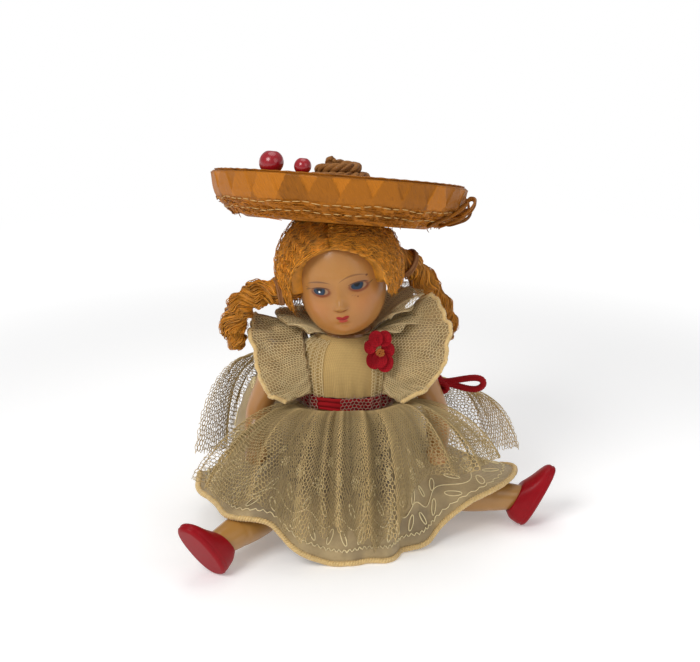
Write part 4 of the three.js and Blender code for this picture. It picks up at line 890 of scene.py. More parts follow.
def new_material(name):
    """A material with one Principled shader, its writer and that shader."""
    material = bpy.data.materials.new(name)
    material.use_nodes = True
    writer = NodeWriter(material.node_tree)
    shader = material.node_tree.nodes["Principled BSDF"]
    return material, writer, shader


def object_place(w):
    """The place on the object, in its own axes."""
    return w.add("ShaderNodeTexCoord").outputs["Object"]


def bump(w, shader, height, depth):
    """Fine relief from a height, with a depth in metres."""
    node = w.add("ShaderNodeBump", {"Height": height, "Distance": depth, "Strength": 1.0})
    w.feed(shader.inputs["Normal"], node.outputs[0])


def rgba(colour):
    """A linear colour with full opacity."""
    return (colour[0], colour[1], colour[2], 1.0)


def toned(w, colour, tone):
    """A colour made lighter or darker by a tone about one."""
    node = w.add("ShaderNodeVectorMath", {0: colour, 1: tone}, operation="MULTIPLY")
    return node.outputs[0]


def three_tones(w, tone, dark, middle, light):
    """A colour that goes from dark over middle to light with a tone of 0 to 1."""
    low = w.mix(w.ramp(tone, 0.0, 0.5), rgba(dark), rgba(middle))
    return w.mix(w.ramp(tone, 0.5, 1.0), low, rgba(light))


def plain_material(name, colour, roughness, scale=180.0, depth=0.3, coat=0.0, relief=0.0, metallic=0.0, specular=0.5):
    """A painted or cast surface whose tone wanders softly."""
    material, w, shader = new_material(name)
    tone = w.group("mottle", Place=object_place(w), Scale=scale, Depth=depth)
    w.fill(shader, Base_Color=toned(w, w.colour(colour), tone), Roughness=w.math("MULTIPLY", tone, roughness))
    w.fill(shader, Coat_Weight=coat, Coat_Roughness=0.12, Metallic=metallic, Specular_IOR_Level=specular)
    if relief:
        bump(w, shader, tone, relief)
    return material


def cloth_material(name, colour, threads, relief, opacity=1.0, sheen=0.3, depth=0.35):
    """Woven cloth with fine threads, partly clear where its opacity is below one."""
    material, w, shader = new_material(name)
    place = object_place(w)
    tone = w.group("mottle", Place=place, Scale=260.0, Depth=depth)
    height = w.group("weave", Place=place, Threads=threads)
    shade = w.math("MULTIPLY", tone, w.math("MULTIPLY_ADD", height, 0.35, 0.78))
    w.fill(shader, Base_Color=toned(w, w.colour(colour), shade), Roughness=0.75)
    w.fill(shader, Specular_IOR_Level=0.2, Sheen_Weight=sheen)
    bump(w, shader, height, relief)
    if opacity < 1:
        cover = w.math("MULTIPLY_ADD", height, 0.5, opacity - 0.25)
        w.fill(shader, Alpha=w.math("MULTIPLY", cover, tone, clamp=True))
    return material


def cord_material(name, colour):
    """Twisted cord with a soft shine."""
    material, w, shader = new_material(name)
    tone = w.group("mottle", Place=object_place(w), Scale=700.0, Depth=0.9)
    w.fill(shader, Base_Color=toned(w, w.colour(colour), tone), Roughness=0.45, Sheen_Weight=0.3)
    bump(w, shader, tone, 0.0001)
    return material


def skin_material(name, colour):
    """Glossy moulded celluloid."""
    return plain_material(name, colour, 0.34, scale=90.0, depth=0.3, coat=0.4, relief=0.00004)


def silk_material(name, colour):
    """Shiny embroidery thread."""
    return plain_material(name, colour, 0.4, scale=600.0, depth=0.6, coat=0.1, relief=0.00006)


def strand_material(name, dark, middle, light, roughness):
    """Hair whose colour follows a tone kept at each point."""
    material, w, shader = new_material(name)
    grain = w.noise(object_place(w), 900.0, 3.0)
    mixed = w.math("ADD", w.attribute("tone"), w.math("MULTIPLY_ADD", grain, 0.5, -0.25))
    w.fill(shader, Base_Color=three_tones(w, mixed, dark, middle, light), Roughness=roughness)
    bump(w, shader, grain, 0.00008)
    return material


def face_material(looks):
    """Painted celluloid: tinted skin with eyes, brows, nostrils, lips and blush."""
    material, w, shader = new_material("doll_painted_face")
    mapping = w.add("ShaderNodeMapping", {"Vector": object_place(w)}, vector_type="TEXTURE")
    mapping.inputs["Location"].default_value = [value * MM for value in HEAD_CENTRE]
    mapping.inputs["Rotation"].default_value = HEAD_TURN
    mapping.inputs["Scale"].default_value = (MM, MM, MM)
    place = mapping.outputs[0]
    parts = w.add("ShaderNodeSeparateXYZ", {0: place}).outputs
    front = w.ramp(parts["Y"], -4.0, -6.0)
    tone = w.group("mottle", Place=place, Scale=0.12, Depth=0.25)
    colour = toned(w, w.colour(looks.skin), tone)
    # The skin darker and more orange toward the jaw and a little lighter toward the brow
    low = w.ramp(parts["Z"], -4.0, -13.0, 0.0, 0.55)
    colour = w.mix(low, colour, rgba(linear(162, 100, 42)))
    high = w.ramp(parts["Z"], 2.0, 10.0, 0.0, 0.45)
    colour = w.mix(high, colour, rgba(linear(184, 134, 82)))

    def spot(x, z, half_width, half_height, tilt, edge):
        """A soft spot on the front of the head."""
        sizes = {"Half_width": half_width, "Half_height": half_height, "Tilt": tilt, "Edge": edge}
        return w.math("MULTIPLY", w.group("soft_spot", Place=place, X=x, Z=z, **sizes), front)

    def stroke(x, z, half_length, half_width, tilt, bend):
        """A brush stroke on the front of the head."""
        sizes = {"Half_length": half_length, "Half_width": half_width, "Tilt": tilt, "Bend": bend}
        return w.math("MULTIPLY", w.group("painted_stroke", Place=place, X=x, Z=z, **sizes), front)

    def paint(under, mask, ink, strength=1.0):
        """The colours under a mask, painted over with ink."""
        return w.mix(w.math("MULTIPLY", mask, strength), under, rgba(linear(*ink)))

    for side in (-1, 1):
        colour = paint(colour, spot(side * 6.4, -5.4, 3.4, 2.8, 0.0, 0.95), (192, 112, 62), 0.35)
    for x, look_x, tilt in EYES:
        colour = paint(colour, spot(x, -0.6, 3.4, 2.4, 0.0, 0.7), (140, 84, 40), 0.45)
        colour = paint(colour, spot(x, -0.92, 2.6, 1.3, tilt, 0.2), (112, 48, 20), 0.92)
        eye = spot(x - 0.1, -0.74, 2.02, 0.94, tilt, 0.16)
        colour = paint(colour, eye, (152, 116, 82))
        iris = w.math("MULTIPLY", spot(look_x, -0.45, 1.62, 1.5, 0.0, 0.12), eye)
        colour = paint(colour, iris, (20, 30, 44))
        inner = w.math("MULTIPLY", spot(look_x, -0.52, 1.22, 1.15, 0.0, 0.3), eye)
        colour = paint(colour, inner, (28, 50, 72))
        pupil = w.math("MULTIPLY", spot(look_x + 0.05, -0.1, 0.8, 0.72, 0.0, 0.25), eye)
        colour = paint(colour, pupil, (14, 12, 14))
        colour = paint(colour, stroke(x, 0.3, 2.7, 0.26, tilt * 0.6, 0.07), (78, 44, 24), 0.92)
        colour = paint(colour, stroke(x, -1.95, 2.4, 0.3, tilt * 0.8, -0.12), (132, 66, 28), 0.85)
    for tool, sizes, ink, strength in FACE_MARKS:
        mask = spot(*sizes) if tool == "spot" else stroke(*sizes)
        colour = paint(colour, mask, ink, strength)
    lips = spot(0.0, -8.5, 1.7, 0.6, 0.0, 0.3)
    for side in (-1, 1):
        colour = paint(colour, spot(side * 0.85, -6.15, 0.5, 0.24, side * 0.3, 0.5), (120, 58, 26), 0.75)
        upper = spot(side * 0.72, -8.2, 1.02, 0.46, side * 0.16, 0.22)
        lips = w.math("MAXIMUM", lips, upper)
        colour = paint(colour, upper, (150, 20, 24), 0.95)
    # A painted shadow under the nose
    colour = paint(colour, stroke(0.0, -6.35, 2.1, 0.24, 0.0, -0.14), (132, 68, 32), 0.8)
    lower = spot(0.05, -9.05, 1.2, 0.52, 0.0, 0.3)
    colour = paint(colour, lower, (176, 58, 50), 0.9)
    colour = paint(colour, stroke(0.05, -8.62, 1.75, 0.13, 0.0, -0.03), (104, 12, 18), 0.9)
    lips = w.math("MAXIMUM", lips, lower)
    rough = w.math("MULTIPLY_ADD", lips, 0.3, w.math("MULTIPLY", tone, 0.3))
    coat = w.math("MULTIPLY_ADD", lips, -0.18, 0.18, clamp=True)
    w.fill(shader, Base_Color=colour, Roughness=rough, Coat_Weight=coat, Coat_Roughness=0.2)
    w.fill(shader, Specular_IOR_Level=0.3, Subsurface_Weight=0.08, Subsurface_Radius=(0.0016, 0.0007, 0.0003))
    bump(w, shader, w.noise(place, 0.9, 2.0), 0.00004)
    return material


def straw_material(name, dark, middle, light):
    """Split straw: tone by facet, with fine fibres that run along each blade."""
    material, w, shader = new_material(name)
    streak = w.group("fibres", Place=w.attribute("blade", "Vector"), Across=9.0, Along=0.5)
    mixed = w.math("ADD", w.attribute("tone"), w.math("MULTIPLY_ADD", streak, 0.9, -0.45))
    spots = w.ramp(w.noise(object_place(w), 420.0, 3.0), 0.66, 0.78)
    full = w.mix(w.math("MULTIPLY", spots, 0.35), three_tones(w, mixed, dark, middle, light), rgba(dark))
    w.fill(shader, Base_Color=full, Roughness=w.math("MULTIPLY_ADD", streak, 0.4, 0.3))
    w.fill(shader, Coat_Weight=0.06, Specular_IOR_Level=0.15)
    bump(w, shader, streak, 0.00014)
    return material


def organza_material(looks):
    """Sheer organza: fine threads, clear between them, darker in soft patches and under a painted shadow where the net
    lies over it.
    """
    material, w, shader = new_material("doll_organza")
    place = object_place(w)
    tone = w.group("mottle", Place=place, Scale=160.0, Depth=0.5)
    height = w.group("weave", Place=place, Threads=3200.0)
    base = w.mix(w.ramp(tone, 0.85, 1.15), rgba(linear(164, 140, 98)), rgba(looks.organza))
    # Soft darker patches of noise, and the tone at the points, a painted shadow of the net on the underskirt
    lining = w.ramp(w.noise(place, 70.0, 2.0), 0.52, 0.7, 0.0, 0.4)
    dark = w.math("MAXIMUM", lining, w.math("MULTIPLY", w.attribute("tone"), 0.75))
    w.fill(shader, Base_Color=w.mix(dark, base, rgba(linear(66, 52, 44))), Roughness=0.5, Sheen_Weight=0.3)
    w.fill(shader, Alpha=w.math("MULTIPLY_ADD", height, 0.25, 0.74, clamp=True))
    bump(w, shader, height, 0.00006)
    return material


def net_material(name, colour, folded=False):
    """Matt cotton thread of a net, a little uneven; where folded, painted light on the crests of its folds and painted
    shade in their valleys and on the under layer.
    """
    material, w, shader = new_material(name)
    place = object_place(w)
    tone = w.group("mottle", Place=place, Scale=220.0, Depth=0.6)
    if folded:
        # Painted light and shade: the tone at the points brightens fold crests and darkens valleys and the under layer
        tone = w.math("MULTIPLY", tone, w.math("MULTIPLY_ADD", w.attribute("tone"), 0.75, 0.6))
    w.fill(shader, Base_Color=toned(w, w.colour(colour), tone), Roughness=0.85)
    bump(w, shader, w.noise(place, 4000.0, 2.0), 0.00003)
    return material


def stage_material(looks):
    """Pale paper that keeps the object's shadow and glows white far from it."""
    material, w, shader = new_material("doll_stage")
    place = object_place(w)
    tone = w.group("mottle", Place=place, Scale=3.0, Depth=0.01)
    away = w.add("ShaderNodeVectorMath", {0: place}, operation="LENGTH").outputs["Value"]
    far = w.ramp(away, 0.1, 0.34)
    near = w.math("MULTIPLY", tone, w.math("SUBTRACT", 1.0, far))
    glow = w.ramp(far, 0.0, 1.0, 0.2, 1.0)
    white = w.add("ShaderNodeCombineXYZ", {0: glow, 1: glow, 2: glow}).outputs[0]
    w.fill(shader, Base_Color=toned(w, w.colour(looks.stage), near), Roughness=0.95, Specular_IOR_Level=0.0)
    w.fill(shader, Emission_Color=white, Emission_Strength=1.0)
    return material


def material_named(name, maker, *arguments, **settings):
    """The material of that name, made on its first use."""
    found = bpy.data.materials.get(name)
    return found or maker(name, *arguments, **settings)


def ribbon_material(looks):
    """Red ribbon, woven and a little shiny."""
    return material_named("doll_red_ribbon", cloth_material, looks.ribbon, 2800.0, 0.00012, sheen=0.05)


def gold_material(looks):
    """The pale gold cord of hem and collars."""
    return material_named("doll_gold_cord", cord_material, looks.gold)


# ---------------------------------------------------------------- geometry nodes


def geometry_tree(name, inputs):
    """A new geometry node tree with float, whole and material inputs: its writer and those inputs."""
    tree = bpy.data.node_groups.new(name, "GeometryNodeTree")
    for label, kind in (("Geometry", "Geometry"), *inputs, ("Material", "Material")):
        tree.interface.new_socket(label, in_out="INPUT", socket_type=f"NodeSocket{kind}")
    tree.interface.new_socket("Geometry", in_out="OUTPUT", socket_type="NodeSocketGeometry")
    w = NodeWriter(tree)
    return w, w.add("NodeGroupInput").outputs


def hand_out(w, entry, geometry):
    """Makes the geometry of a tree real, coats it and hands it out."""
    real = w.add("GeometryNodeRealizeInstances", {0: geometry.outputs[0]})
    coat = w.add("GeometryNodeSetMaterial", {"Geometry": real.outputs[0], "Material": entry["Material"]})
    w.add("NodeGroupOutput", {0: coat.outputs[0]})


def add_thread_tree():
    """Geometry nodes that turn the edges of a mesh into round threads."""
    w, entry = geometry_tree("doll_threads", [("Thread radius", "Float"), ("Thread sides", "Int")])
    line = w.add("GeometryNodeMeshToCurve", {0: entry["Geometry"]})
    sizes = {"Radius": entry["Thread radius"], "Resolution": entry["Thread sides"]}
    circle = w.add("GeometryNodeCurvePrimitiveCircle", sizes, mode="RADIUS")
    hand_out(w, entry, w.add("GeometryNodeCurveToMesh", {"Curve": line.outputs[0], "Profile Curve": circle.outputs[0]}))


def add_stitch_tree():
    """Geometry nodes that lay short stitches along the edges of a mesh."""
    sizes = [("Spacing", "Float"), ("Stitch length", "Float"), ("Stitch radius", "Float"), ("Seed", "Int")]
    w, entry = geometry_tree("doll_stitches", sizes)
    line = w.add("GeometryNodeMeshToCurve", {0: entry["Geometry"]}).outputs[0]
    spaced = w.add("GeometryNodeResampleCurve", {"Curve": line, "Length": entry["Spacing"]}, mode="LENGTH")
    stitch = w.add("GeometryNodeMeshUVSphere", {"Segments": 6, "Rings": 5, "Radius": 1.0})
    tangent = w.add("GeometryNodeInputTangent")
    turn = w.add("FunctionNodeAlignRotationToVector", {"Vector": tangent.outputs[0]}, axis="Z")
    jitter = w.add("FunctionNodeRandomValue", {2: 0.8, 3: 1.15, "Seed": entry["Seed"]}, data_type="FLOAT")
    half = w.math("MULTIPLY", w.math("MULTIPLY", entry["Stitch length"], 0.5), jitter.outputs[1])
    size = w.add("ShaderNodeCombineXYZ", {0: entry["Stitch radius"], 1: entry["Stitch radius"], 2: half})
    placed = {"Points": spaced, "Instance": stitch, "Rotation": turn, "Scale": size}
    inputs = {label: node.outputs[0] for label, node in placed.items()}
    hand_out(w, entry, w.add("GeometryNodeInstanceOnPoints", inputs))


def run_tree(piece, tree_name, material, **inputs):
    """Runs a geometry node tree on a piece and keeps the plain mesh that it makes."""
    tree = bpy.data.node_groups[tree_name]
    sockets = {
        item.name: item.identifier
        for item in tree.interface.items_tree
        if item.item_type == "SOCKET" and item.in_out == "INPUT"
    }
    modifier = piece.modifiers.new("nodes", "NODES")
    modifier.node_group = tree
    for key, value in inputs.items():
        modifier[sockets[key.replace("_", " ")]] = value
    modifier[sockets["Material"]] = material
    piece.update_tag()
    graph = bpy.context.evaluated_depsgraph_get()
    graph.update()
    made = bpy.data.meshes.new_from_object(piece.evaluated_get(graph))
    piece.modifiers.clear()
    before = piece.data
    piece.data = made
    made.name = piece.name
    bpy.data.meshes.remove(before)
    if not made.materials:
        made.materials.append(material)
    made.shade_smooth()
    return piece


def thread_piece(name, points, edges, material, radius, sides=3, values=None):
    """Round threads along the edges between points."""
    piece = add_piece(name, make_mesh(name, points, edges=edges, values=values), material)
    return run_tree(piece, "doll_threads", material, Thread_radius=radius * MM, Thread_sides=sides)


# ---------------------------------------------------------------- surfaces of the doll


def torso_point(azimuth, level, stand_off):
    """A place off the torso, at an azimuth from the front and a level."""
    half_width = curve_at(TORSO_ROWS, level, 1) + stand_off
    half_depth = curve_at(TORSO_ROWS, level, 2) + stand_off
    return np.stack([half_width * np.sin(azimuth), -half_depth * np.cos(azimuth), level + 0 * azimuth], -1)


def head_point(longitude, latitude):
    """A place on the head, in its own axes."""
    level = np.sin(latitude)
    low = np.maximum(0, -level)
    jaw = np.maximum(1 - low**JAW_FULLNESS, 0) ** (1 / JAW_FULLNESS)
    girth = np.where(low > 0, jaw, np.cos(latitude))
    across = girth * np.sin(longitude)
    forward = girth * np.cos(longitude)
    depth = np.where(forward > 0, FACE_DEPTH, NAPE_DEPTH)
    x = HEAD_HALF_WIDTH * across
    z = HEAD_HALF_HEIGHT * level
    y = -depth * forward - CHIN_FORWARD * low**2
    for form_x, form_z, wide, tall, push in FACE_FORMS:
        away = ((x - form_x) / wide) ** 2 + ((z - form_z) / tall) ** 2
        y = y - push * np.exp(-away) * np.clip(3 * forward, 0, 1)
    return np.stack([x, y, z], -1)


def wig_point(longitude, latitude):
    """A place on the outside of the hair, in the head's axes."""
    across = np.cos(latitude) * np.sin(longitude)
    forward = np.cos(latitude) * np.cos(longitude)
    depth = np.where(forward > 0, WIG_FRONT, WIG_BACK)
    lumps = 1 + 0.025 * np.sin(7 * longitude) * np.cos(5 * latitude)
    x = WIG_HALF_WIDTH * across * lumps
    return np.stack([x, -depth * forward * lumps, WIG_HALF_HEIGHT * np.sin(latitude)], -1)


def face_opening(place):
    """The fringe's level at each place of the hair, and whether that place is in front of the face."""
    arch = FRINGE_LEVEL * np.sqrt(np.clip(1 - (place[..., 0] / FACE_OPENING) ** 2, 0, 1))
    facing = (np.abs(place[..., 0]) < FACE_OPENING) & (place[..., 1] < OPENING_BACK)
    return arch, facing


def under_hat(points):
    """Hair places pressed down under the hat."""
    local = to_hat(points)
    reach = np.hypot(local[..., 0], local[..., 1])
    rows = np.array(HAT_ROOF)
    local[..., 2] = np.minimum(local[..., 2], np.interp(reach, rows[:, 0], rows[:, 1]))
    return from_hat(local)


def skirt_point(azimuth, share):
    """A place on the organza underskirt, from its waist at 0 to its hem at 1."""
    degrees = np.degrees(azimuth)
    lead_radius, lead_level, hem_radius, hem_level = (curve_at(SKIRT_ROWS, degrees, k) for k in (1, 2, 3, 4))
    scallop = SCALLOP_DEPTH * (np.abs(np.sin(SCALLOPS / 2 * azimuth)) - 1) * share**4
    a, b, c = (1 - share) ** 2, 2 * share * (1 - share), share**2
    fold = FOLD_DEPTH * np.cos(FOLDS * azimuth) * share
    radius = a * SKIRT_TOP_RADIUS + b * lead_radius + c * hem_radius + scallop + fold
    level = a * SKIRT_TOP_LEVEL + b * lead_level + c * hem_level
    return np.stack([radius * np.sin(azimuth), -radius * np.cos(azimuth), level], -1)


def net_point(azimuth, share):
    """A place on the net, from its waist at 0 to its hem at 1."""
    degrees = np.degrees(azimuth)
    r1, z1, r2, z2, r3, z3 = (curve_at(NET_ROWS, degrees, k) for k in range(1, 7))
    rest = 1 - share
    weights = (rest**3, 3 * rest**2 * share, 3 * rest * share**2, share**3)
    radius = weights[0] * NET_TOP_RADIUS + weights[1] * r1 + weights[2] * r2 + weights[3] * r3
    level = weights[0] * SKIRT_TOP_LEVEL + weights[1] * z1 + weights[2] * z2 + weights[3] * z3
    radius = radius + FOLD_DEPTH * np.cos(FOLDS * azimuth) * share
    return np.stack([radius * np.sin(azimuth), -radius * np.cos(azimuth), level], -1)


def frill_point(side, across, out):
    """A place on a collar frill, along its seam and out from it."""
    sign = 1 if side == "left" else -1
    mirror = np.array([sign, 1, 1])
    seam = spline(np.array(FRILL_SEAM) * mirror, across)
    edge = spline(np.array(FRILL_EDGES[side]) * mirror, across)
    out = np.asarray(out)[..., None]
    ripple = 0.9 * out**2 * np.sin(2 * math.pi * 6 * across)[..., None]
    fine = 0.35 * out * np.sin(2 * math.pi * 19 * across + 1.3)[..., None]
    return seam + (edge - seam) * out + (ripple + fine) * np.array([sign * 0.5, -0.4, 0.7])


def leg_axes(name):
    """Where a leg lies at rest: its joint, ankle and directions."""
    side, splay, roll = LEG_POSES[name]
    splay, roll, pointed = (math.radians(a) for a in (splay, roll, TOE_POINT_DEGREES))
    level = np.array([side * math.sin(splay), -math.cos(splay), 0])
    up = np.array([0, 0, 1.0])
    axis = np.cross(up, level)
    joint = np.array([side * HIP_JOINT[0], HIP_JOINT[1], HIP_JOINT[2]])
    low, high = 0.0, math.radians(14)
    for _ in range(24):
        drop = (low + high) / 2
        along = level * math.cos(drop) - up * math.sin(drop)
        raised = -np.cross(axis, along)
        straight = raised * math.cos(roll) + axis * side * math.sin(roll)
        toe = straight * math.cos(pointed) + along * math.sin(pointed)
        sole = along * math.cos(pointed) - straight * math.sin(pointed)
        ankle = joint + along * LEG_LENGTH
        found = {"joint": joint, "along": along, "axis": axis, "toe": toe, "sole": sole, "ankle": ankle}
        lowest = min(ring[:, 2].min() for ring in shoe_rings(found, SHOE_ROWS, 10))
        if lowest > 0.3:
            low = drop
        else:
            high = drop
    return found


def shoe_rings(leg, rows, sides, squareness=2.0):
    """Rings of a shoe from its sole up to its collar."""
    aside = np.cross(leg["sole"], leg["toe"])
    centre = leg["ankle"] + leg["sole"] * SOLE_BELOW_ANKLE
    angles = even_angles(sides)
    cosine, sine = np.cos(angles), np.sin(angles)
    power = 2 / squareness
    along = np.sign(cosine) * np.abs(cosine) ** power
    across = np.sign(sine) * np.abs(sine) ** power
    rings = []
    for height, heel, toe, half_width in rows:
        middle = centre - leg["sole"] * height + leg["toe"] * (toe - heel) / 2
        reach = leg["toe"] * (toe + heel) / 2
        rings.append(middle + np.outer(along, reach) + np.outer(across, aside * half_width))
    return rings


def pigtail_route(name):
    """The middle line and radii of a pigtail."""
    rows = np.array(RIGHT_PIGTAIL if name == "right" else LEFT_PIGTAIL)
    return rows[:, :3] + HEAD_CENTRE, rows[:, 3]


# ---------------------------------------------------------------- settings


# What all colour settings share
COLOUR = {"subtype": "COLOR", "min": 0, "max": 1}


class DollLooks(bpy.types.PropertyGroup):
    """Sizes and colours of the doll that a user may change."""

    net_cell: bpy.props.FloatProperty(
        name="Net cell",
        description="Width of one cell of the net",
        default=1.0 * MM,
        min=0.0008,
        max=0.003,
        unit="LENGTH",
    )
    net_thread: bpy.props.FloatProperty(
        name="Net thread",
        description="Radius of the net's thread",
        default=0.1 * MM,
        min=0.00005,
        max=0.0003,
        unit="LENGTH",
    )
    hair_strands: bpy.props.IntProperty(
        name="Hair strands", description="Strands that lie over each half of the wig", default=1050, min=50, max=1100
    )
    skin: bpy.props.FloatVectorProperty(
        name="Skin", description="Colour of the celluloid", default=linear(177, 124, 66), **COLOUR
    )
    hair: bpy.props.FloatVectorProperty(
        name="Hair", description="Middle colour of the hair", default=linear(202, 132, 30), **COLOUR
    )
    straw: bpy.props.FloatVectorProperty(
        name="Straw", description="Middle colour of the hat", default=linear(164, 98, 20), **COLOUR
    )
    berry: bpy.props.FloatVectorProperty(
        name="Berries", description="Colour of the berries", default=linear(150, 8, 24), **COLOUR
    )
    shoe: bpy.props.FloatVectorProperty(
        name="Shoes", description="Colour of the shoes", default=linear(144, 8, 20), **COLOUR
    )
    ribbon: bpy.props.FloatVectorProperty(
        name="Ribbon", description="Colour of the sash and bow", default=linear(160, 10, 20), **COLOUR
    )
    net: bpy.props.FloatVectorProperty(
        name="Net", description="Colour of the net", default=linear(194, 168, 116), **COLOUR
    )
    organza: bpy.props.FloatVectorProperty(
        name="Organza", description="Colour of the organza", default=linear(196, 172, 126), **COLOUR
    )
    cream: bpy.props.FloatVectorProperty(
        name="Cream", description="Colour of the bodice front", default=linear(182, 150, 92), **COLOUR
    )
    gold: bpy.props.FloatVectorProperty(
        name="Edging", description="Colour of the corded edges", default=linear(216, 184, 122), **COLOUR
    )
    petal: bpy.props.FloatVectorProperty(
        name="Petals", description="Colour of the corsage", default=linear(152, 10, 24), **COLOUR
    )
    stage: bpy.props.FloatVectorProperty(
        name="Stage", description="Colour of the floor", default=(0.93, 0.93, 0.92), **COLOUR
    )


class PieceOperator(bpy.types.Operator):
    """Builds some pieces of the doll."""

    bl_options = {"REGISTER", "UNDO"}

    def execute(self, context):
        """Builds the pieces and stops with an error where that fails."""
        self.build(context.scene.doll_looks)
        return {"FINISHED"}

    def build(self, looks):
        """Builds the pieces of one step with the sizes and colours that are set."""
        raise NotImplementedError


def soft_white(w, is_seen):
    """White for the camera and mirrors, and a plain light for the rest."""
    return w.mix(is_seen, (0.36, 0.36, 0.37, 1), (1, 1, 1, 1))


def aim_at(item, place, aim):
    """Sets a lamp or camera at a place, looking at another."""
    away = Vector(aim) - Vector(place)
    item.location = Vector(place) * MM
    item.rotation_euler = away.to_track_quat("-Z", "Y").to_euler()


class DOLL_OT_stage(PieceOperator):
    """Adds the floor, the lights and the camera"""

    bl_idname = "doll.stage"
    bl_label = "Stage"

    def build(self, looks):
        scene = bpy.context.scene
        scene.view_settings.view_transform = "Standard"
        corners = [(x * FLOOR_HALF, y * FLOOR_HALF, 0) for x, y in ((-1, -1), (1, -1), (1, 1), (-1, 1))]
        floor = plain_piece("stage_floor", corners, [[[0, 1, 2, 3]]], stage_material(looks))
        world = bpy.data.worlds.new("doll_world")
        scene.world = world
        world.use_nodes = True
        w = NodeWriter(world.node_tree)
        path = w.add("ShaderNodeLightPath").outputs
        seen = w.math("ADD", path["Is Camera Ray"], path["Is Transmission Ray"], clamp=True)
        w.feed(world.node_tree.nodes["Background"].inputs["Color"], soft_white(w, seen))
        for name, (place, aim, size, power) in LAMPS.items():
            lamp = bpy.data.lights.new(name, "AREA")
            lamp.shape = "DISK"
            lamp.size = size * MM
            lamp.energy = power
            held = bpy.data.objects.new(name, lamp)
            scene.collection.objects.link(held)
            aim_at(held, place, aim)
        lens = bpy.data.cameras.new("camera")
        lens.sensor_fit = "HORIZONTAL"
        lens.sensor_width = 36
        lens.lens = CAMERA_LENS
        lens.clip_start = 0.01
        camera = bpy.data.objects.new("camera", lens)
        scene.collection.objects.link(camera)
        toward = np.array([0, -math.cos(CAMERA_RISE), math.sin(CAMERA_RISE)])
        aim_at(camera, CAMERA_AIM + CAMERA_AWAY * toward, CAMERA_AIM)
        scene.camera = camera


class DOLL_OT_head(PieceOperator):
    """Models the painted head with its neck"""

    bl_idname = "doll.head"
    bl_label = "Head"

    def build(self, looks):
        columns, rows = 190, 150
        share = np.arange(columns) * 2 / columns - 1
        longitude = math.pi * (0.55 * share + 0.45 * share**3)
        latitude = np.linspace(-math.pi / 2 + 0.02, math.pi / 2 - 0.02, rows)
        grid = head_point(*np.meshgrid(longitude, latitude))
        skull = (from_head(grid.reshape(-1, 3)), capped_faces(rows, columns))
        sides = 48
        rings = np.array([[(r * math.cos(a), r * math.sin(a), z) for a in even_angles(sides)] for r, z in NECK_PROFILE])
        neck = (rings.reshape(-1, 3), capped_faces(len(NECK_PROFILE), sides))
        head = closed_piece("doll_head", *join_plain([skull, neck]), face_material(looks))
        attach(head, "head")
        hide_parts("head_front_shell", "head_back_shell")


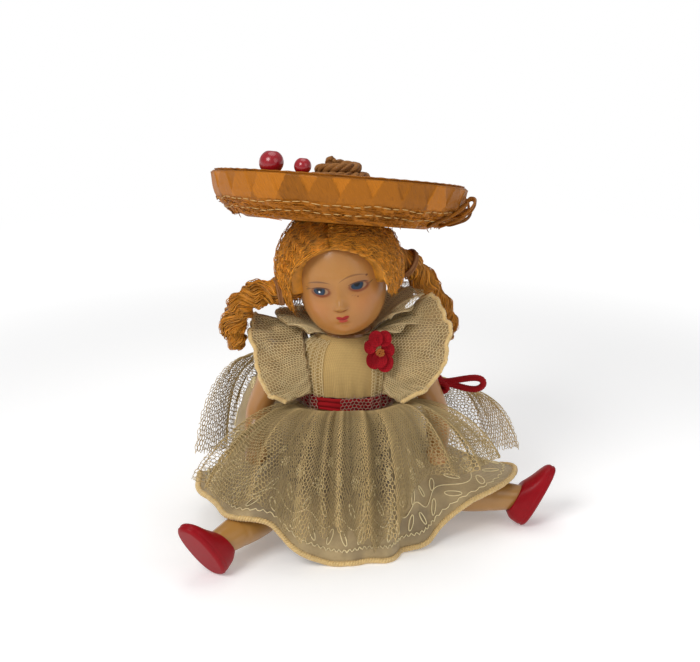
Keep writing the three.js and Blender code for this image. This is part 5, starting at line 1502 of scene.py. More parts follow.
class DOLL_OT_limbs(PieceOperator):
    """Models the arms with their hands, the legs and the shoes"""

    bl_idname = "doll.limbs"
    bl_label = "Arms, Legs and Shoes"

    def build(self, looks):
        for name, sign in (("left", 1), ("right", -1)):
            self.arm(looks, name, sign)
            self.leg(name)
            self.shoe(looks, name)

    def arm(self, looks, name, sign):
        """One arm with a cupped mitten hand."""
        rows = np.array(ARM_ROWS)
        rows[:, 0] *= sign
        steps, sides = 90, 32
        places = np.linspace(0, 1, steps)
        middle = spline(rows[:, :3], places)
        radii = values_along(rows[:, 3], places)
        radii = radii - 0.22 * np.exp(-(((places - 0.56) / 0.02) ** 2)) - 0.2 * np.exp(-(((places - 0.76) / 0.02) ** 2))
        radii[-4:] *= np.array([0.97, 0.88, 0.7, 0.35])
        points, faces = tubes(middle[None], radii[None], sides)
        spokes = points.reshape(steps, sides, 3) - middle[:, None]
        hand = np.clip((places - 0.78) / 0.12, 0, 1)
        fingers = np.clip((places - 0.9) / 0.06, 0, 1)
        groove = 1 - 0.1 * np.outer(fingers, np.abs(np.sin(2 * even_angles(sides))) < 0.25)
        spokes = spokes * groove[..., None]
        spokes[..., 0] *= 1 + 0.12 * hand[:, None]
        points = (middle[:, None] + spokes).reshape(-1, 3)
        thumb = spline(rows[:, :3], np.array([0.84])) + np.array(THUMB) * np.array([sign, 1, 1])
        line = spline(thumb, np.linspace(0, 1, 14))
        thumb_radii = 1.0 * np.sqrt(np.clip(1 - np.linspace(0, 0.97, 14) ** 4, 0.02, 1))
        points, faces = join_plain([(points, faces), tubes(line[None], thumb_radii[None], 14)])
        celluloid = material_named("doll_arm_celluloid", skin_material, looks.skin)
        arm = closed_piece(f"{name}_arm", points, faces, celluloid)
        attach(arm, f"{name}_arm")
        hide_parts(f"{name}_arm_outer_shell", f"{name}_arm_inner_shell")

    def leg(self, name):
        """One straight leg in pale celluloid, with a soft knee."""
        axes = leg_axes(name)
        places = np.linspace(-2.5, LEG_LENGTH + 3.6, 60)
        radii = curve_at(LEG_ROWS, places, 1)
        radii = radii - 0.14 * np.exp(-(((places - 17.5) / 0.8) ** 2)) - 0.12 * np.exp(-(((places - 28.5) / 0.7) ** 2))
        middle = axes["joint"] + places[:, None] * axes["along"]
        celluloid = material_named("doll_leg_celluloid", skin_material, linear(172, 124, 60))
        leg = closed_piece(f"{name}_leg", *tubes(middle[None], radii[None], 36), celluloid)
        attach(leg, f"{name}_leg")
        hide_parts(f"{name}_leg_front_shell", f"{name}_leg_back_shell")

    def shoe(self, looks, name):
        """One moulded shoe with a flat sole and a bevelled edge."""
        axes = leg_axes(name)
        heights = np.concatenate([[0.0, 0.12, 0.35, 0.8], np.linspace(1.2, 6.2, 30)])
        columns = [curve_at(SHOE_ROWS, heights, k) for k in (1, 2, 3)]
        inset = np.zeros(len(heights))
        inset[:3] = 0.55, 0.2, 0.05
        rim = 0.16 * np.exp(-(((heights - 1.3) / 0.3) ** 2))
        rows = np.column_stack([heights, *(column - inset - rim for column in columns)])
        sides = 56
        rings = np.array(shoe_rings(axes, rows, sides, squareness=2.35))
        finish = {"scale": 150.0, "depth": 0.6, "coat": 0.05, "relief": 0.00008, "specular": 0.15}
        enamel = material_named("doll_shoe_enamel", plain_material, looks.shoe, 0.42, **finish)
        shoe = closed_piece(f"{name}_shoe_look", rings.reshape(-1, 3), capped_faces(len(rows), sides), enamel)
        flat_sole = len(shoe.data.polygons) - 2
        shoe.data.polygons[flat_sole].use_smooth = False
        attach(shoe, f"{name}_leg")
        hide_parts(f"{name}_shoe")


class DOLL_OT_hair(PieceOperator):
    """Combs the wig and the two pigtails and winds their ties"""

    bl_idname = "doll.hair"
    bl_label = "Hair"

    def build(self, looks):
        middle = np.array(looks.hair)
        hair = strand_material("doll_hair", middle * 0.3, middle, np.minimum(middle * 1.7, 1), 0.5)
        self.wig(looks, hair)
        for name in ("right", "left"):
            self.pigtail(name, hair)
            self.tie(name)

    def edge_latitude(self, longitude):
        """The latitude of the hair's lower edge at each longitude."""
        latitude = np.linspace(-1.35, math.pi / 2, 500)
        lon, lat = np.meshgrid(longitude, latitude)
        place = wig_point(lon, lat)
        arch, facing = face_opening(place)
        nape = WIG_NAPE - (place[..., 1] - NAPE_DEPTH) * math.tan(WIG_EDGE_RISE)
        inside = (facing & (place[..., 2] < arch)) | (place[..., 2] < nape)
        last = np.where(inside.any(0), inside.shape[0] - 1 - np.argmax(inside[::-1], axis=0), 0)
        return latitude[last]

    def cap(self):
        """The close cap of hair, from its edge up to the crown."""
        columns, rows = 220, 46
        longitude = (np.arange(columns) / columns * 2 - 1) * math.pi
        edge = self.edge_latitude(longitude)
        share = np.linspace(0, 1, rows)[:, None]
        latitude = edge + (math.pi / 2 - 0.01 - edge) * share
        grow = np.full((rows, columns), 0.985)
        grow[:3] = np.array([0.7, 0.84, 0.94])[:, None]
        grid = wig_point(np.broadcast_to(longitude, latitude.shape), latitude)
        comb = np.arctan2(grid[..., 2], -grid[..., 1])
        grow = grow + 0.006 * np.sin(70 * comb + 0.5 * grid[..., 0])
        tone = 0.4 + 0.16 * np.sin(60 * comb + 0.9 * grid[..., 2]) + 0.12 * np.sin(97 * comb + 0.4 * grid[..., 0])
        points = under_hat(from_head((grid * grow[..., None]).reshape(-1, 3)))
        faces = [grid_faces(rows, columns, True), (rows - 1) * columns + np.arange(columns)[None]]
        return points, faces, {"tone": tone.ravel()}

    def wig(self, looks, hair):
        """Fine wavy strands combed from a middle part down to each pigtail, over the cap."""
        sizes = np.array([WIG_HALF_WIDTH, WIG_FRONT, WIG_HALF_HEIGHT])
        for name, side in (("right", -1), ("left", 1)):
            random = np.random.default_rng(SEED + side)
            count, steps = looks.hair_strands, 26
            root, _ = pigtail_route(name)
            aim = unit(((root[0] - HEAD_CENTRE) @ HEAD_AXES) / sizes)
            back = random.random(count) ** 0.85
            comb = 0.66 + back * 3.0
            start = np.stack([side * random.uniform(0.0, 0.06, count), -np.cos(comb), np.sin(comb)], -1)
            low = aim + random.normal(0, 0.13, (count, 3)) * np.array([0.4, 1.2, 1.6])
            low[:, 1] += 0.5 * np.clip(back - 0.3, 0, 1)
            corner = unit(np.array([side * 12.9, -5.2, -4.6]) / sizes)
            beside = (random.random(count) < 0.75) * random.uniform(0.05, 1.2, count) * (back < 0.55)
            low = low * (1 - beside[:, None]) + (corner + random.normal(0, 0.05, (count, 3))) * beside[:, None]
            start, low = unit(start), unit(low)
            turn = np.arccos(np.clip((start * low).sum(-1), -1, 1))[:, None, None]
            t = np.linspace(0, 1, steps)[None, :, None]
            path = (np.sin((1 - t) * turn) * start[:, None] + np.sin(t * turn) * low[:, None]) / np.sin(turn)
            along = t[..., 0] * turn[..., 0] * 34 + 5 * np.sin(3 * comb)[:, None]
            wave = np.sin(along + random.normal(0, 0.5, count)[:, None]) * np.sin(math.pi * t[..., 0]) ** 0.4
            aside = unit(np.cross(start, low))[:, None]
            loose = (random.random(count) < 0.1)[:, None]
            path = unit(path + aside * ((0.03 + 0.03 * loose) * wave)[..., None])
            lift = random.uniform(0.985, 1.03, count)[:, None] + 0.014 * np.cos(along)
            lift = lift + 0.05 * loose * np.sin(math.pi * t[..., 0])
            depth = np.where(path[..., 1] < 0, WIG_FRONT, WIG_BACK)
            place = np.stack([WIG_HALF_WIDTH * path[..., 0], depth * path[..., 1], WIG_HALF_HEIGHT * path[..., 2]], -1)
            place = place * lift[..., None]
            arch, facing = face_opening(place)
            arch = arch - random.uniform(-0.3, 0.9, count)[:, None]
            place[..., 2] = np.where(facing, np.maximum(place[..., 2], arch), place[..., 2])
            strands = under_hat(from_head(place))
            taper = np.sin(math.pi * np.linspace(0.08, 0.97, steps)) ** 0.4
            thick = 0.125 * taper * random.uniform(0.7, 1.3, count)[:, None] * (1 - 0.4 * loose)
            points, faces = tubes(strands, thick, 3)
            # Each strand's own tone, with painted light and shade along its waves
            shade = random.normal(0.5, 0.2, count)[:, None] + 0.2 * np.cos(along)
            tone = np.repeat(np.clip(shade, 0, 1).ravel(), 3)
            parts = [(points, faces, {"tone": tone}), self.face_frame(side)]
            if side < 0:
                parts.append(self.cap())
            points, faces, values = join_parts(parts)
            piece = plain_piece(f"wig_{name}_look", points, faces, hair, values)
            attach(piece, "head")
            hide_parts("wig")

    def face_frame(self, side):
        """Wavy strands that follow the edge of the face from the fringe down beside the cheek."""
        random = np.random.default_rng(SEED + 11 + side)
        count, steps = 80, 26
        s = np.linspace(0, 1, steps)
        turn = np.minimum(s * 1.25, 1) * math.pi / 2
        wider = random.uniform(0.985, 1.2, count)[:, None]
        phase = 26 * s + 9 * wider + random.normal(0, 0.5, count)[:, None]
        wider = wider + 0.022 * np.sin(phase) * np.sin(math.pi * s) ** 0.3
        x = side * FACE_OPENING * np.sin(turn) * wider
        z = FRINGE_LEVEL * np.cos(turn) * wider - np.maximum(s - 0.8, 0) * 26 * random.uniform(0.7, 1.2, count)[:, None]
        inner = np.clip(1 - (x / WIG_HALF_WIDTH) ** 2 - (z / WIG_HALF_HEIGHT) ** 2, 0.02, 1)
        lift = random.uniform(0.99, 1.03, count)[:, None] + 0.012 * np.cos(phase)
        place = np.stack([x, -WIG_FRONT * np.sqrt(inner) * lift, z], -1)
        strands = under_hat(from_head(place))
        taper = np.sin(math.pi * np.linspace(0.1, 0.95, steps)) ** 0.4
        points, faces = tubes(strands, 0.125 * taper * random.uniform(0.7, 1.3, count)[:, None], 3)
        # Each strand's own tone, with painted light and shade along its waves
        shade = random.normal(0.52, 0.2, count)[:, None] + 0.2 * np.cos(phase)
        return points, faces, {"tone": np.repeat(np.clip(shade, 0, 1).ravel(), 3)}

    def pigtail(self, name, hair):
        """One ringlet: a core with crimped locks wound round it."""
        random = np.random.default_rng(SEED + len(name))
        points, radii = pigtail_route(name)
        steps = 74
        t = np.linspace(0, 1, steps)
        middle = spline(points, t)
        reach = values_along(radii, t) * (1 + 0.13 * np.sin(2 * math.pi * 6 * t))
        parts = [(*tubes(middle[None], (reach * 0.72)[None], 16), {"tone": 0.28})]
        tangent = unit(np.gradient(middle, axis=0))
        normal = unit(np.cross(tangent, np.array([0.1, 1.0, 0.2])))
        binormal = np.cross(tangent, normal)
        count, locks = 250, 8
        lock = random.integers(0, locks, count)
        angle = lock[:, None] * 2 * math.pi / locks + 2 * math.pi * 1.3 * t + random.normal(0, 0.3, count)[:, None]
        angle = angle + 0.3 * np.sin(2 * math.pi * 7 * t + lock[:, None])
        out = random.uniform(0.6, 1.0, count)[:, None] * (1 + 0.1 * np.sin(2 * math.pi * 12 * t + 2 * lock[:, None]))
        out = out + (random.random(count) < 0.12)[:, None] * 0.14 * np.sin(2 * math.pi * 3 * t + lock[:, None]) ** 2
        spoke = np.cos(angle)[..., None] * normal + np.sin(angle)[..., None] * binormal
        strands = middle + spoke * (out * reach)[..., None]
        thick = 0.19 * random.uniform(0.7, 1.2, count)[:, None] * np.clip(1.2 - t, 0.3, 1)
        tone = np.clip(random.normal(0.47, 0.15, count) + 0.07 * (lock % 3 - 1), 0, 1)
        parts.append((*tubes(strands, thick, 3), {"tone": np.repeat(tone, steps * 3)}))
        points, faces, values = join_parts(parts)
        piece = plain_piece(f"{name}_pigtail_look", points, faces, hair, values)
        if name == "left":
            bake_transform(piece)
        else:
            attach(piece, "head")
        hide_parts(f"{name}_pigtail")

    def tie(self, name):
        """The thread wound three times round a pigtail."""
        points, radii = pigtail_route(name)
        centre = points[1] * 0.68 + points[2] * 0.32
        along = unit(points[2] - points[0])
        radius = (radii[1] * 0.68 + radii[2] * 0.32) * 1.1 + 0.5
        first, second = ring_axes(along)
        turns = np.linspace(0, 3, 90) * 2 * math.pi
        wobble = radius + 0.12 * np.sin(turns * 2.3)
        route = centre + np.outer(wobble * np.cos(turns), first) + np.outer(wobble * np.sin(turns), second)
        route = route + np.outer(np.linspace(-0.7, 0.7, 90), along)
        thread = material_named("doll_tie_thread", plain_material, linear(140, 92, 48), 0.8, relief=0.0001)
        tie = closed_piece(f"{name}_tie_look", *tubes(route[None], 0.34, 8), thread)
        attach(tie, "head")
        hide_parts(f"{name}_pigtail_tie")


def facet_hash(first, second):
    """A steady number of 0 to 1 for a pair of whole numbers."""
    value = np.sin(first * 12.9898 + second * 78.233) * 43758.5453
    return value - np.floor(value)


class DOLL_OT_hat(PieceOperator):
    """Plaits the straw hat and trims it with rope and berries"""

    bl_idname = "doll.hat"
    bl_label = "Hat"

    def build(self, looks):
        middle = np.array(looks.straw)
        straw = straw_material("doll_straw", middle * 0.36, middle, np.minimum(middle * 1.55, 1))
        self.brim(straw)
        self.crown(straw)
        self.band(straw)
        self.stitches()
        self.fringe(straw)
        self.rope()
        self.berries(looks)

    def lathe(self, profile, columns):
        """A grid of places turned about the hat's own axis, with its angles."""
        angles = even_angles(columns)
        radius, level = profile[:, :1], profile[:, 1:] + 0 * angles
        return np.stack([radius * np.cos(angles), radius * np.sin(angles), level], -1), angles

    def finish(self, name, points, faces, values, material, nodes, slot):
        """One hat piece on the hat's body."""
        piece = closed_piece(name, points, faces, material, values)
        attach(piece, "hat")
        if nodes:
            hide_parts(*nodes)

    def straw_values(self, lengths, along, tone):
        """Values that straw needs: places across and along its blades, and its tone."""
        blade = np.stack(np.broadcast_arrays(lengths[:, None], along, 0 * along), -1)
        return {"blade": blade.reshape(-1, 3), "tone": tone.ravel()}

    def brim(self, straw):
        """The brim: a closed ring of coiled plait, turned up at its rim."""
        wall = STRAW * 1.1
        outer = [(BRIM_HOLE, 0), (BRIM_FLAT_RADIUS, 0), RIM_FOOT, RIM_MIDDLE, RIM_TOP]
        inner = [
            (RIM_TOP[0] - wall, RIM_TOP[1] + 0.2),
            (RIM_MIDDLE[0] - wall, RIM_MIDDLE[1] + 0.4),
            (RIM_FOOT[0] - wall, RIM_FOOT[1] + STRAW),
            (BRIM_FLAT_RADIUS - 0.3, STRAW),
            (BRIM_HOLE, STRAW),
        ]
        profile = np.vstack([evenly(np.array(run, float), 80) for run in (outer, inner)])
        rows, columns = len(profile), 360
        grid, angles = self.lathe(profile, columns)
        lengths = lengths_along(profile)
        normals = grid_normals(np.concatenate([grid, grid[:1]]), True)[:-1]
        plait = np.abs(np.sin(lengths * math.pi / PLAIT_WIDTH))[:, None]
        slant = np.sin(lengths[:, None] * math.pi * 2 / PLAIT_WIDTH + angles * 60)
        relief = 0.34 * plait + 0.14 * slant * plait
        points = from_hat((grid - normals * relief[..., None] * 0.6).reshape(-1, 3))
        facet = facet_hash(np.floor(lengths / PLAIT_WIDTH)[:, None], np.floor(angles * 11 + lengths[:, None] * 0.6))
        values = self.straw_values(lengths, angles * 26, 0.14 + 0.58 * facet)
        quads = grid_faces(rows + 1, columns, True) % (rows * columns)
        self.finish("hat_brim_look", points, [quads], values, straw, ["hat_brim"], "straw")

    def crown(self, straw):
        """The low crown inside the brim."""
        dome = [(0.2, 1.0), (0.66, 0.98), (0.89, 0.79), (0.985, 0.42), (1.0, 0.0)]
        outer = [(CROWN_RADIUS * r, CROWN_HEIGHT * z) for r, z in dome]
        inner = [((CROWN_RADIUS - STRAW) * r, (CROWN_HEIGHT - STRAW) * z) for r, z in reversed(dome)]
        profile = np.vstack([spline(run, np.linspace(0, 1, 30)) for run in (outer, inner)])
        rows, columns = len(profile), 120
        grid, angles = self.lathe(profile, columns)
        lengths = lengths_along(profile)
        caps = [np.arange(columns)[None], ((rows - 1) * columns + np.arange(columns))[None, ::-1]]
        tone = 0.16 + 0.5 * facet_hash(np.floor(lengths / 2.0)[:, None], np.floor(angles * 8))
        values = self.straw_values(lengths, angles * 12, tone)
        faces = [grid_faces(rows, columns, True), *caps]
        self.finish("hat_crown_look", from_hat(grid.reshape(-1, 3)), faces, values, straw, ["hat_crown"], "straw")

    def band_place(self, angle, share, stand_off):
        """A place on the outside of the rim, from its foot at 0 to its top at 1."""
        line = np.array([RIM_FOOT, RIM_MIDDLE, RIM_TOP])
        flat = spline(line, share)
        outward = unit(np.array([RIM_TOP[1] - RIM_FOOT[1], RIM_FOOT[0] - RIM_TOP[0]]))
        bulge = 1.3 * np.sin(math.pi * np.clip(share, 0, 1)) ** 1.5
        flat = flat + outward * (np.asarray(stand_off) + bulge)[..., None]
        return np.stack([flat[..., 0] * np.cos(angle), flat[..., 0] * np.sin(angle), flat[..., 1]], -1)

    def band(self, straw):
        """The wide plait round the rim, of blades folded to and fro in points."""
        columns, rows = 720, 30
        angles = even_angles(columns)
        share = np.linspace(0.0, 0.97, rows)[:, None]
        along = angles * 26 / (2 * math.pi)
        first = along + 0.8 * share
        second = along - 0.8 * share
        folded = np.clip((share - 0.42) / 0.04, 0, 1)
        one = first - np.floor(first)
        two = second - np.floor(second)
        ridge = 0.42 * np.maximum(one, 1 - two) * folded
        coil = 0.34 * np.abs(np.sin(share * math.pi * 9 + 0.8 * np.sin(angles * 9))) * (1 - folded)
        rough = (0.12 * np.sin(angles * 97 + 11 * share) + 0.16 * np.sin(angles * 31 + 19 * share)) * (1 - folded)
        wobble = 0.25 * np.sin(angles * 5 + 1.0) + 0.18 * np.sin(angles * 13)
        stand_off = 0.75 + ridge + coil + rough + 0 * angles
        lift = share + 0.02 * np.sin(angles * 5) * (share > 0.9)
        grid = self.band_place(np.broadcast_to(angles, stand_off.shape), np.clip(lift, 0, 1), stand_off)
        grid = grid * (1 + 0.002 * wobble[..., None])
        ends = np.array([[0.97], [0.0]]) + 0 * angles
        inner = self.band_place(np.broadcast_to(angles, ends.shape), ends, np.full(ends.shape, 0.32))
        grid = np.concatenate([grid, inner])
        total = rows + 2
        quads = grid_faces(total + 1, columns, True) % (total * columns)
        pleat_tone = 0.28 + 0.56 * facet_hash(np.floor(first), np.floor(second))
        coil_tone = 0.36 + 0.4 * facet_hash(np.floor(along * 7), np.floor(share * 9))
        tone = np.where(folded > 0.5, pleat_tone, coil_tone)
        tone = np.concatenate([tone, np.full((2, columns), 0.3)])
        slanted = np.where(folded > 0.5, first * 7, share * 12 + 0 * angles)
        blade = np.stack([slanted, np.where(folded > 0.5, second * 7, angles * 26 + 0 * share), 0 * slanted], -1)
        blade = np.concatenate([blade, np.zeros((2, columns, 3))])
        values = {"blade": blade.reshape(-1, 3), "tone": tone.ravel()}
        self.finish("hat_band_look", from_hat(grid.reshape(-1, 3)), [quads], values, straw, ["hat_rim_band"], "straw")

    def stitches(self):
        """Two rows of running stitches through the plait."""
        thread = plain_material("doll_hat_thread", linear(198, 158, 96), 0.8, relief=0.00008)
        steps = 400
        points, edges = [], []
        for row, (level, shift) in enumerate(((0.43, 0.0), (0.2, 0.4))):
            angles = even_angles(steps) + shift
            wander = level + 0.025 * np.sin(angles * 9) + 0.018 * np.sin(angles * 23)
            points.append(self.band_place(angles, wander, np.full(steps, 1.35)))
            edges.append(polyline_edges(1, steps, True) + row * steps)
        mesh = make_mesh("hat_stitches", from_hat(np.concatenate(points)), edges=np.concatenate(edges))
        piece = add_piece("hat_stitches", mesh, thread)
        sizes = {"Spacing": 2.6 * MM, "Stitch_length": 2.2 * MM, "Stitch_radius": 0.14 * MM, "Seed": SEED}
        run_tree(piece, "doll_stitches", thread, **sizes)
        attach(piece, "hat")

    def fringe(self, straw):
        """Loose straws along the foot of the band, and plait loops that stand open at the doll's left."""
        random = np.random.default_rng(SEED + 3)
        t = np.linspace(0, 1, 9)
        parts = []
        for count, slant, drop, low, high, thick in FRAYED_STRAWS:
            angle = random.uniform(0, 2 * math.pi, count)[:, None] + random.normal(0, slant, count)[:, None] * (t - 0.5)
            share = random.uniform(low, high, count)[:, None] - random.normal(0, drop, count)[:, None] * (t - 0.3)
            share = share + random.uniform(0, 0.03, count)[:, None] * np.sin(9 * t + angle * 40)
            out = random.uniform(0.85, 1.2, count)[:, None] + random.uniform(-0.1, 0.5, count)[:, None] * t**2
            routes = self.band_place(angle, np.clip(share, 0, 1), out)
            routes[..., 2] += np.minimum(share, 0) * 10
            radii = random.uniform(0.5, 1.0, count)[:, None] * thick * (1 - 0.6 * np.abs(2 * t - 1) ** 3)
            tone = np.repeat(random.uniform(0.25, 1.0, count), len(t) * 4)
            parts.append((*tubes(from_hat(routes), radii, 4), {"tone": tone}))
        turn = np.linspace(0, 2 * math.pi, 40, endpoint=False)
        for index, (start, level, reach) in enumerate(PLAIT_LOOPS):
            angles = start + 0.1 * np.sin(turn) + 0.02 * np.sin(2 * turn)
            shares = level + 0.24 * np.sin(turn + 0.7)
            loop = self.band_place(angles, np.clip(shares, 0, 1), 0.9 + 1.35 * reach * (1 + np.cos(turn)))
            for shift in (0.0, 0.32, 0.6):
                strand = loop + shift * np.array([0.3, 0.5, 0.8]) + 0.08 * np.sin(turn * 5 + 9 * shift)[:, None]
                tone = 0.25 + 0.1 * (index % 4)
                parts.append((*tubes(from_hat(strand)[None], 0.26, 6, closed=True), {"tone": tone}))
        points, faces, values = join_parts(parts)
        values["blade"] = np.column_stack([points[:, 0] * 3, points[:, 2] * 3, points[:, 1] * 3])
        self.finish("hat_frayed_straw", points, faces, values, straw, [], "straw")

    def rope(self):
        """The coil of three-strand raffia rope on the crown."""
        steps = 48
        share = np.linspace(0, 1, steps + 1)
        angle = ROPE_START + 2 * math.pi * ROPE_LOOPS * share
        radius = ROPE_OUTER_RADIUS + (ROPE_INNER_RADIUS - ROPE_OUTER_RADIUS) * share
        base = CROWN_HEIGHT + 0.3 + ROPE_RADIUS
        coil = np.stack([radius * np.cos(angle), radius * np.sin(angle), base + ROPE_RISE * share], -1)
        lead = unit((coil[0] - coil[1]) * np.array([1, 1, 0])) * 2 * ROPE_RADIUS
        inward = unit(np.array([-coil[-1, 0], -coil[-1, 1], 0])) * 2 * ROPE_RADIUS
        onward = unit(coil[-1] - coil[-2]) * 2 * ROPE_RADIUS
        tail = unit(onward + inward) * 2 * ROPE_RADIUS
        route = np.vstack([coil[0] + lead, coil, coil[-1] + tail])
        fine = spline(route, np.linspace(0, 1, 420))
        length = lengths_along(fine)
        tangent = unit(np.gradient(fine, axis=0))
        side = unit(np.cross(tangent, np.array([0, 0, 1.0])))
        over = np.cross(side, tangent)
        strands, sides = 3, 12
        share_round = np.tile(np.arange(sides) / sides, len(fine))
        parts = []
        for k in range(strands):
            twist = 2 * math.pi * (length / 6.5 + k / strands)
            strand = fine + 0.66 * (np.cos(twist)[:, None] * side + np.sin(twist)[:, None] * over)
            tone = 0.42 + 0.14 * np.sin(2 * math.pi * share_round * 3 + k) + 0.1 * (k - 1)
            values = {"tone": tone, "across": share_round * 1.4 + k, "along": np.repeat(length, sides)}
            parts.append((*tubes(from_hat(strand)[None], 0.74, sides), values))
        points, faces, values = join_parts(parts)
        across, along = values.pop("across"), values.pop("along")
        values["blade"] = np.column_stack([across * 2.2, along * 0.9, 0 * across])
        raffia = straw_material("doll_raffia", linear(84, 46, 16), linear(148, 98, 48), linear(204, 158, 100))
        self.finish("hat_rope_look", points, faces, values, raffia, ["hat_rope"], "raffia_rope")

    def berries(self, looks):
        """Two lacquered berries on wire stems, lying in the front of the brim."""
        finish = {"scale": 420.0, "depth": 0.7, "coat": 0.5, "relief": 0.0001}
        lacquer = plain_material("doll_berry_lacquer", looks.berry, 0.28, **finish)
        wire = plain_material("doll_stem_wire", linear(92, 60, 34), 0.7, relief=0.00008)
        for name, (x, radius) in BERRIES.items():
            centre, stem = self.berry_places(x, radius)
            columns, rows = 48, 26
            lon, lat = np.meshgrid(even_angles(columns), np.linspace(-1.5, 1.5, rows))
            direction = np.stack([np.cos(lat) * np.cos(lon), np.cos(lat) * np.sin(lon), np.sin(lat)], -1)
            wrinkle = 0.012 * np.sin(3 * lon + 2 * lat) * np.cos(lat)
            dimple = -0.1 * np.exp(-(((1.5 - lat) / 0.25) ** 2))
            grid = centre + direction * (radius * (1 + wrinkle + dimple))[..., None]
            label = f"{name}_berry"
            skin = (from_hat(grid.reshape(-1, 3)), capped_faces(rows, columns))
            self.finish(f"{label}_look", *skin, {}, lacquer, [label], "berry_lacquer")
            line = spline(stem, np.linspace(0, 1, 60))
            stalk = tubes(from_hat(line)[None], 0.4, 10)
            self.finish(f"{label}_stem_look", *stalk, {}, wire, [f"{label}_stem"], "stem_wire")

    def berry_places(self, x, radius):
        """The middle of a berry and the line of its stem, in the hat's axes."""
        inner = (RIM_TOP[0] - STRAW * 1.1, RIM_TOP[1] + 0.2)
        rise, run = RIM_TOP[1] - RIM_FOOT[1], RIM_TOP[0] - RIM_FOOT[0]
        slope = math.hypot(rise, run)
        away = radius + 0.3
        reach = inner[0] - away * rise / slope
        centre = np.array([x, -math.sqrt(reach**2 - x**2), inner[1] + away * run / slope])
        level = unit(centre * np.array([1, 1, 0]))
        foot = level * (BRIM_HOLE + 0.4) + np.array([0, 0, STRAW + 0.7])
        flat = BRIM_HOLE + 0.7 * (BRIM_FLAT_RADIUS - BRIM_HOLE)
        low = level * flat + np.array([0, 0, foot[2] + 0.3])
        seat = centre - level * 0.6 * radius + np.array([0, 0, -0.9 * radius - 0.6])
        return centre, np.array([foot, low, seat])


class DOLL_OT_bodice(PieceOperator):
    """Sews the bodice lining, its cream front and the red sash"""

    bl_idname = "doll.bodice"
    bl_label = "Bodice"

    def build(self, looks):
        self.lining()
        self.front(looks)
        self.sash(looks)

    def lining(self):
        """The dark lining, cut away at the armholes."""
        columns, rows = 120, 40
        u, level = np.meshgrid(even_angles(columns), np.linspace(WAIST_LEVEL, NECKLINE_LEVEL, rows))
        points, faces = shell(torso_point(u, level, 0.55), COTTON, True)
        away = np.hypot(points[:, 1], points[:, 2] - SHOULDER_LEVEL)
        keep = ~((away < 5.6) & (np.abs(points[:, 0]) > 6))
        faces = [block[keep[block].all(1)] for block in faces]
        navy = cloth_material("doll_navy_cotton", linear(40, 40, 66), 2600.0, 0.00012)
        piece = plain_piece("bodice_lining_look", points, faces, navy)
        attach(piece, "torso")
        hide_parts("bodice_lining")

    def front(self, looks):
        """The cream cotton front, with soft upright puckers."""
        columns, rows = 90, 50
        u, level = np.meshgrid(np.linspace(-1, 1, columns) * math.radians(64), np.linspace(41.7, 57.9, rows))
        pucker = 0.16 * np.sin(u * 26) * np.exp(-(((level - 42) / 5) ** 2)) + 0.1 * np.sin(u * 9 + level * 0.3)
        cream = cloth_material("doll_cream_cotton", looks.cream, 2400.0, 0.0001)
        piece = closed_piece("bodice_front_look", *shell(torso_point(u, level, 1.4 + pucker), COTTON), cream)
        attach(piece, "torso")
        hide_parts("bodice_front")

    def sash(self, looks):
        """The red sash, creased along its length."""
        columns, rows = 160, 20
        u, level = np.meshgrid(even_angles(columns), np.linspace(WAIST_LEVEL, WAIST_LEVEL + 3.4, rows))
        crease = 0.22 * np.sin(level * 4.2 + 0.9 * np.sin(u * 5)) + 0.08 * np.sin(u * 17)
        folded = shell(torso_point(u, level, 1.55 + crease), COTTON, True)
        piece = closed_piece("waist_sash_look", *folded, ribbon_material(looks))
        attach(piece, "torso")
        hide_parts("waist_sash")


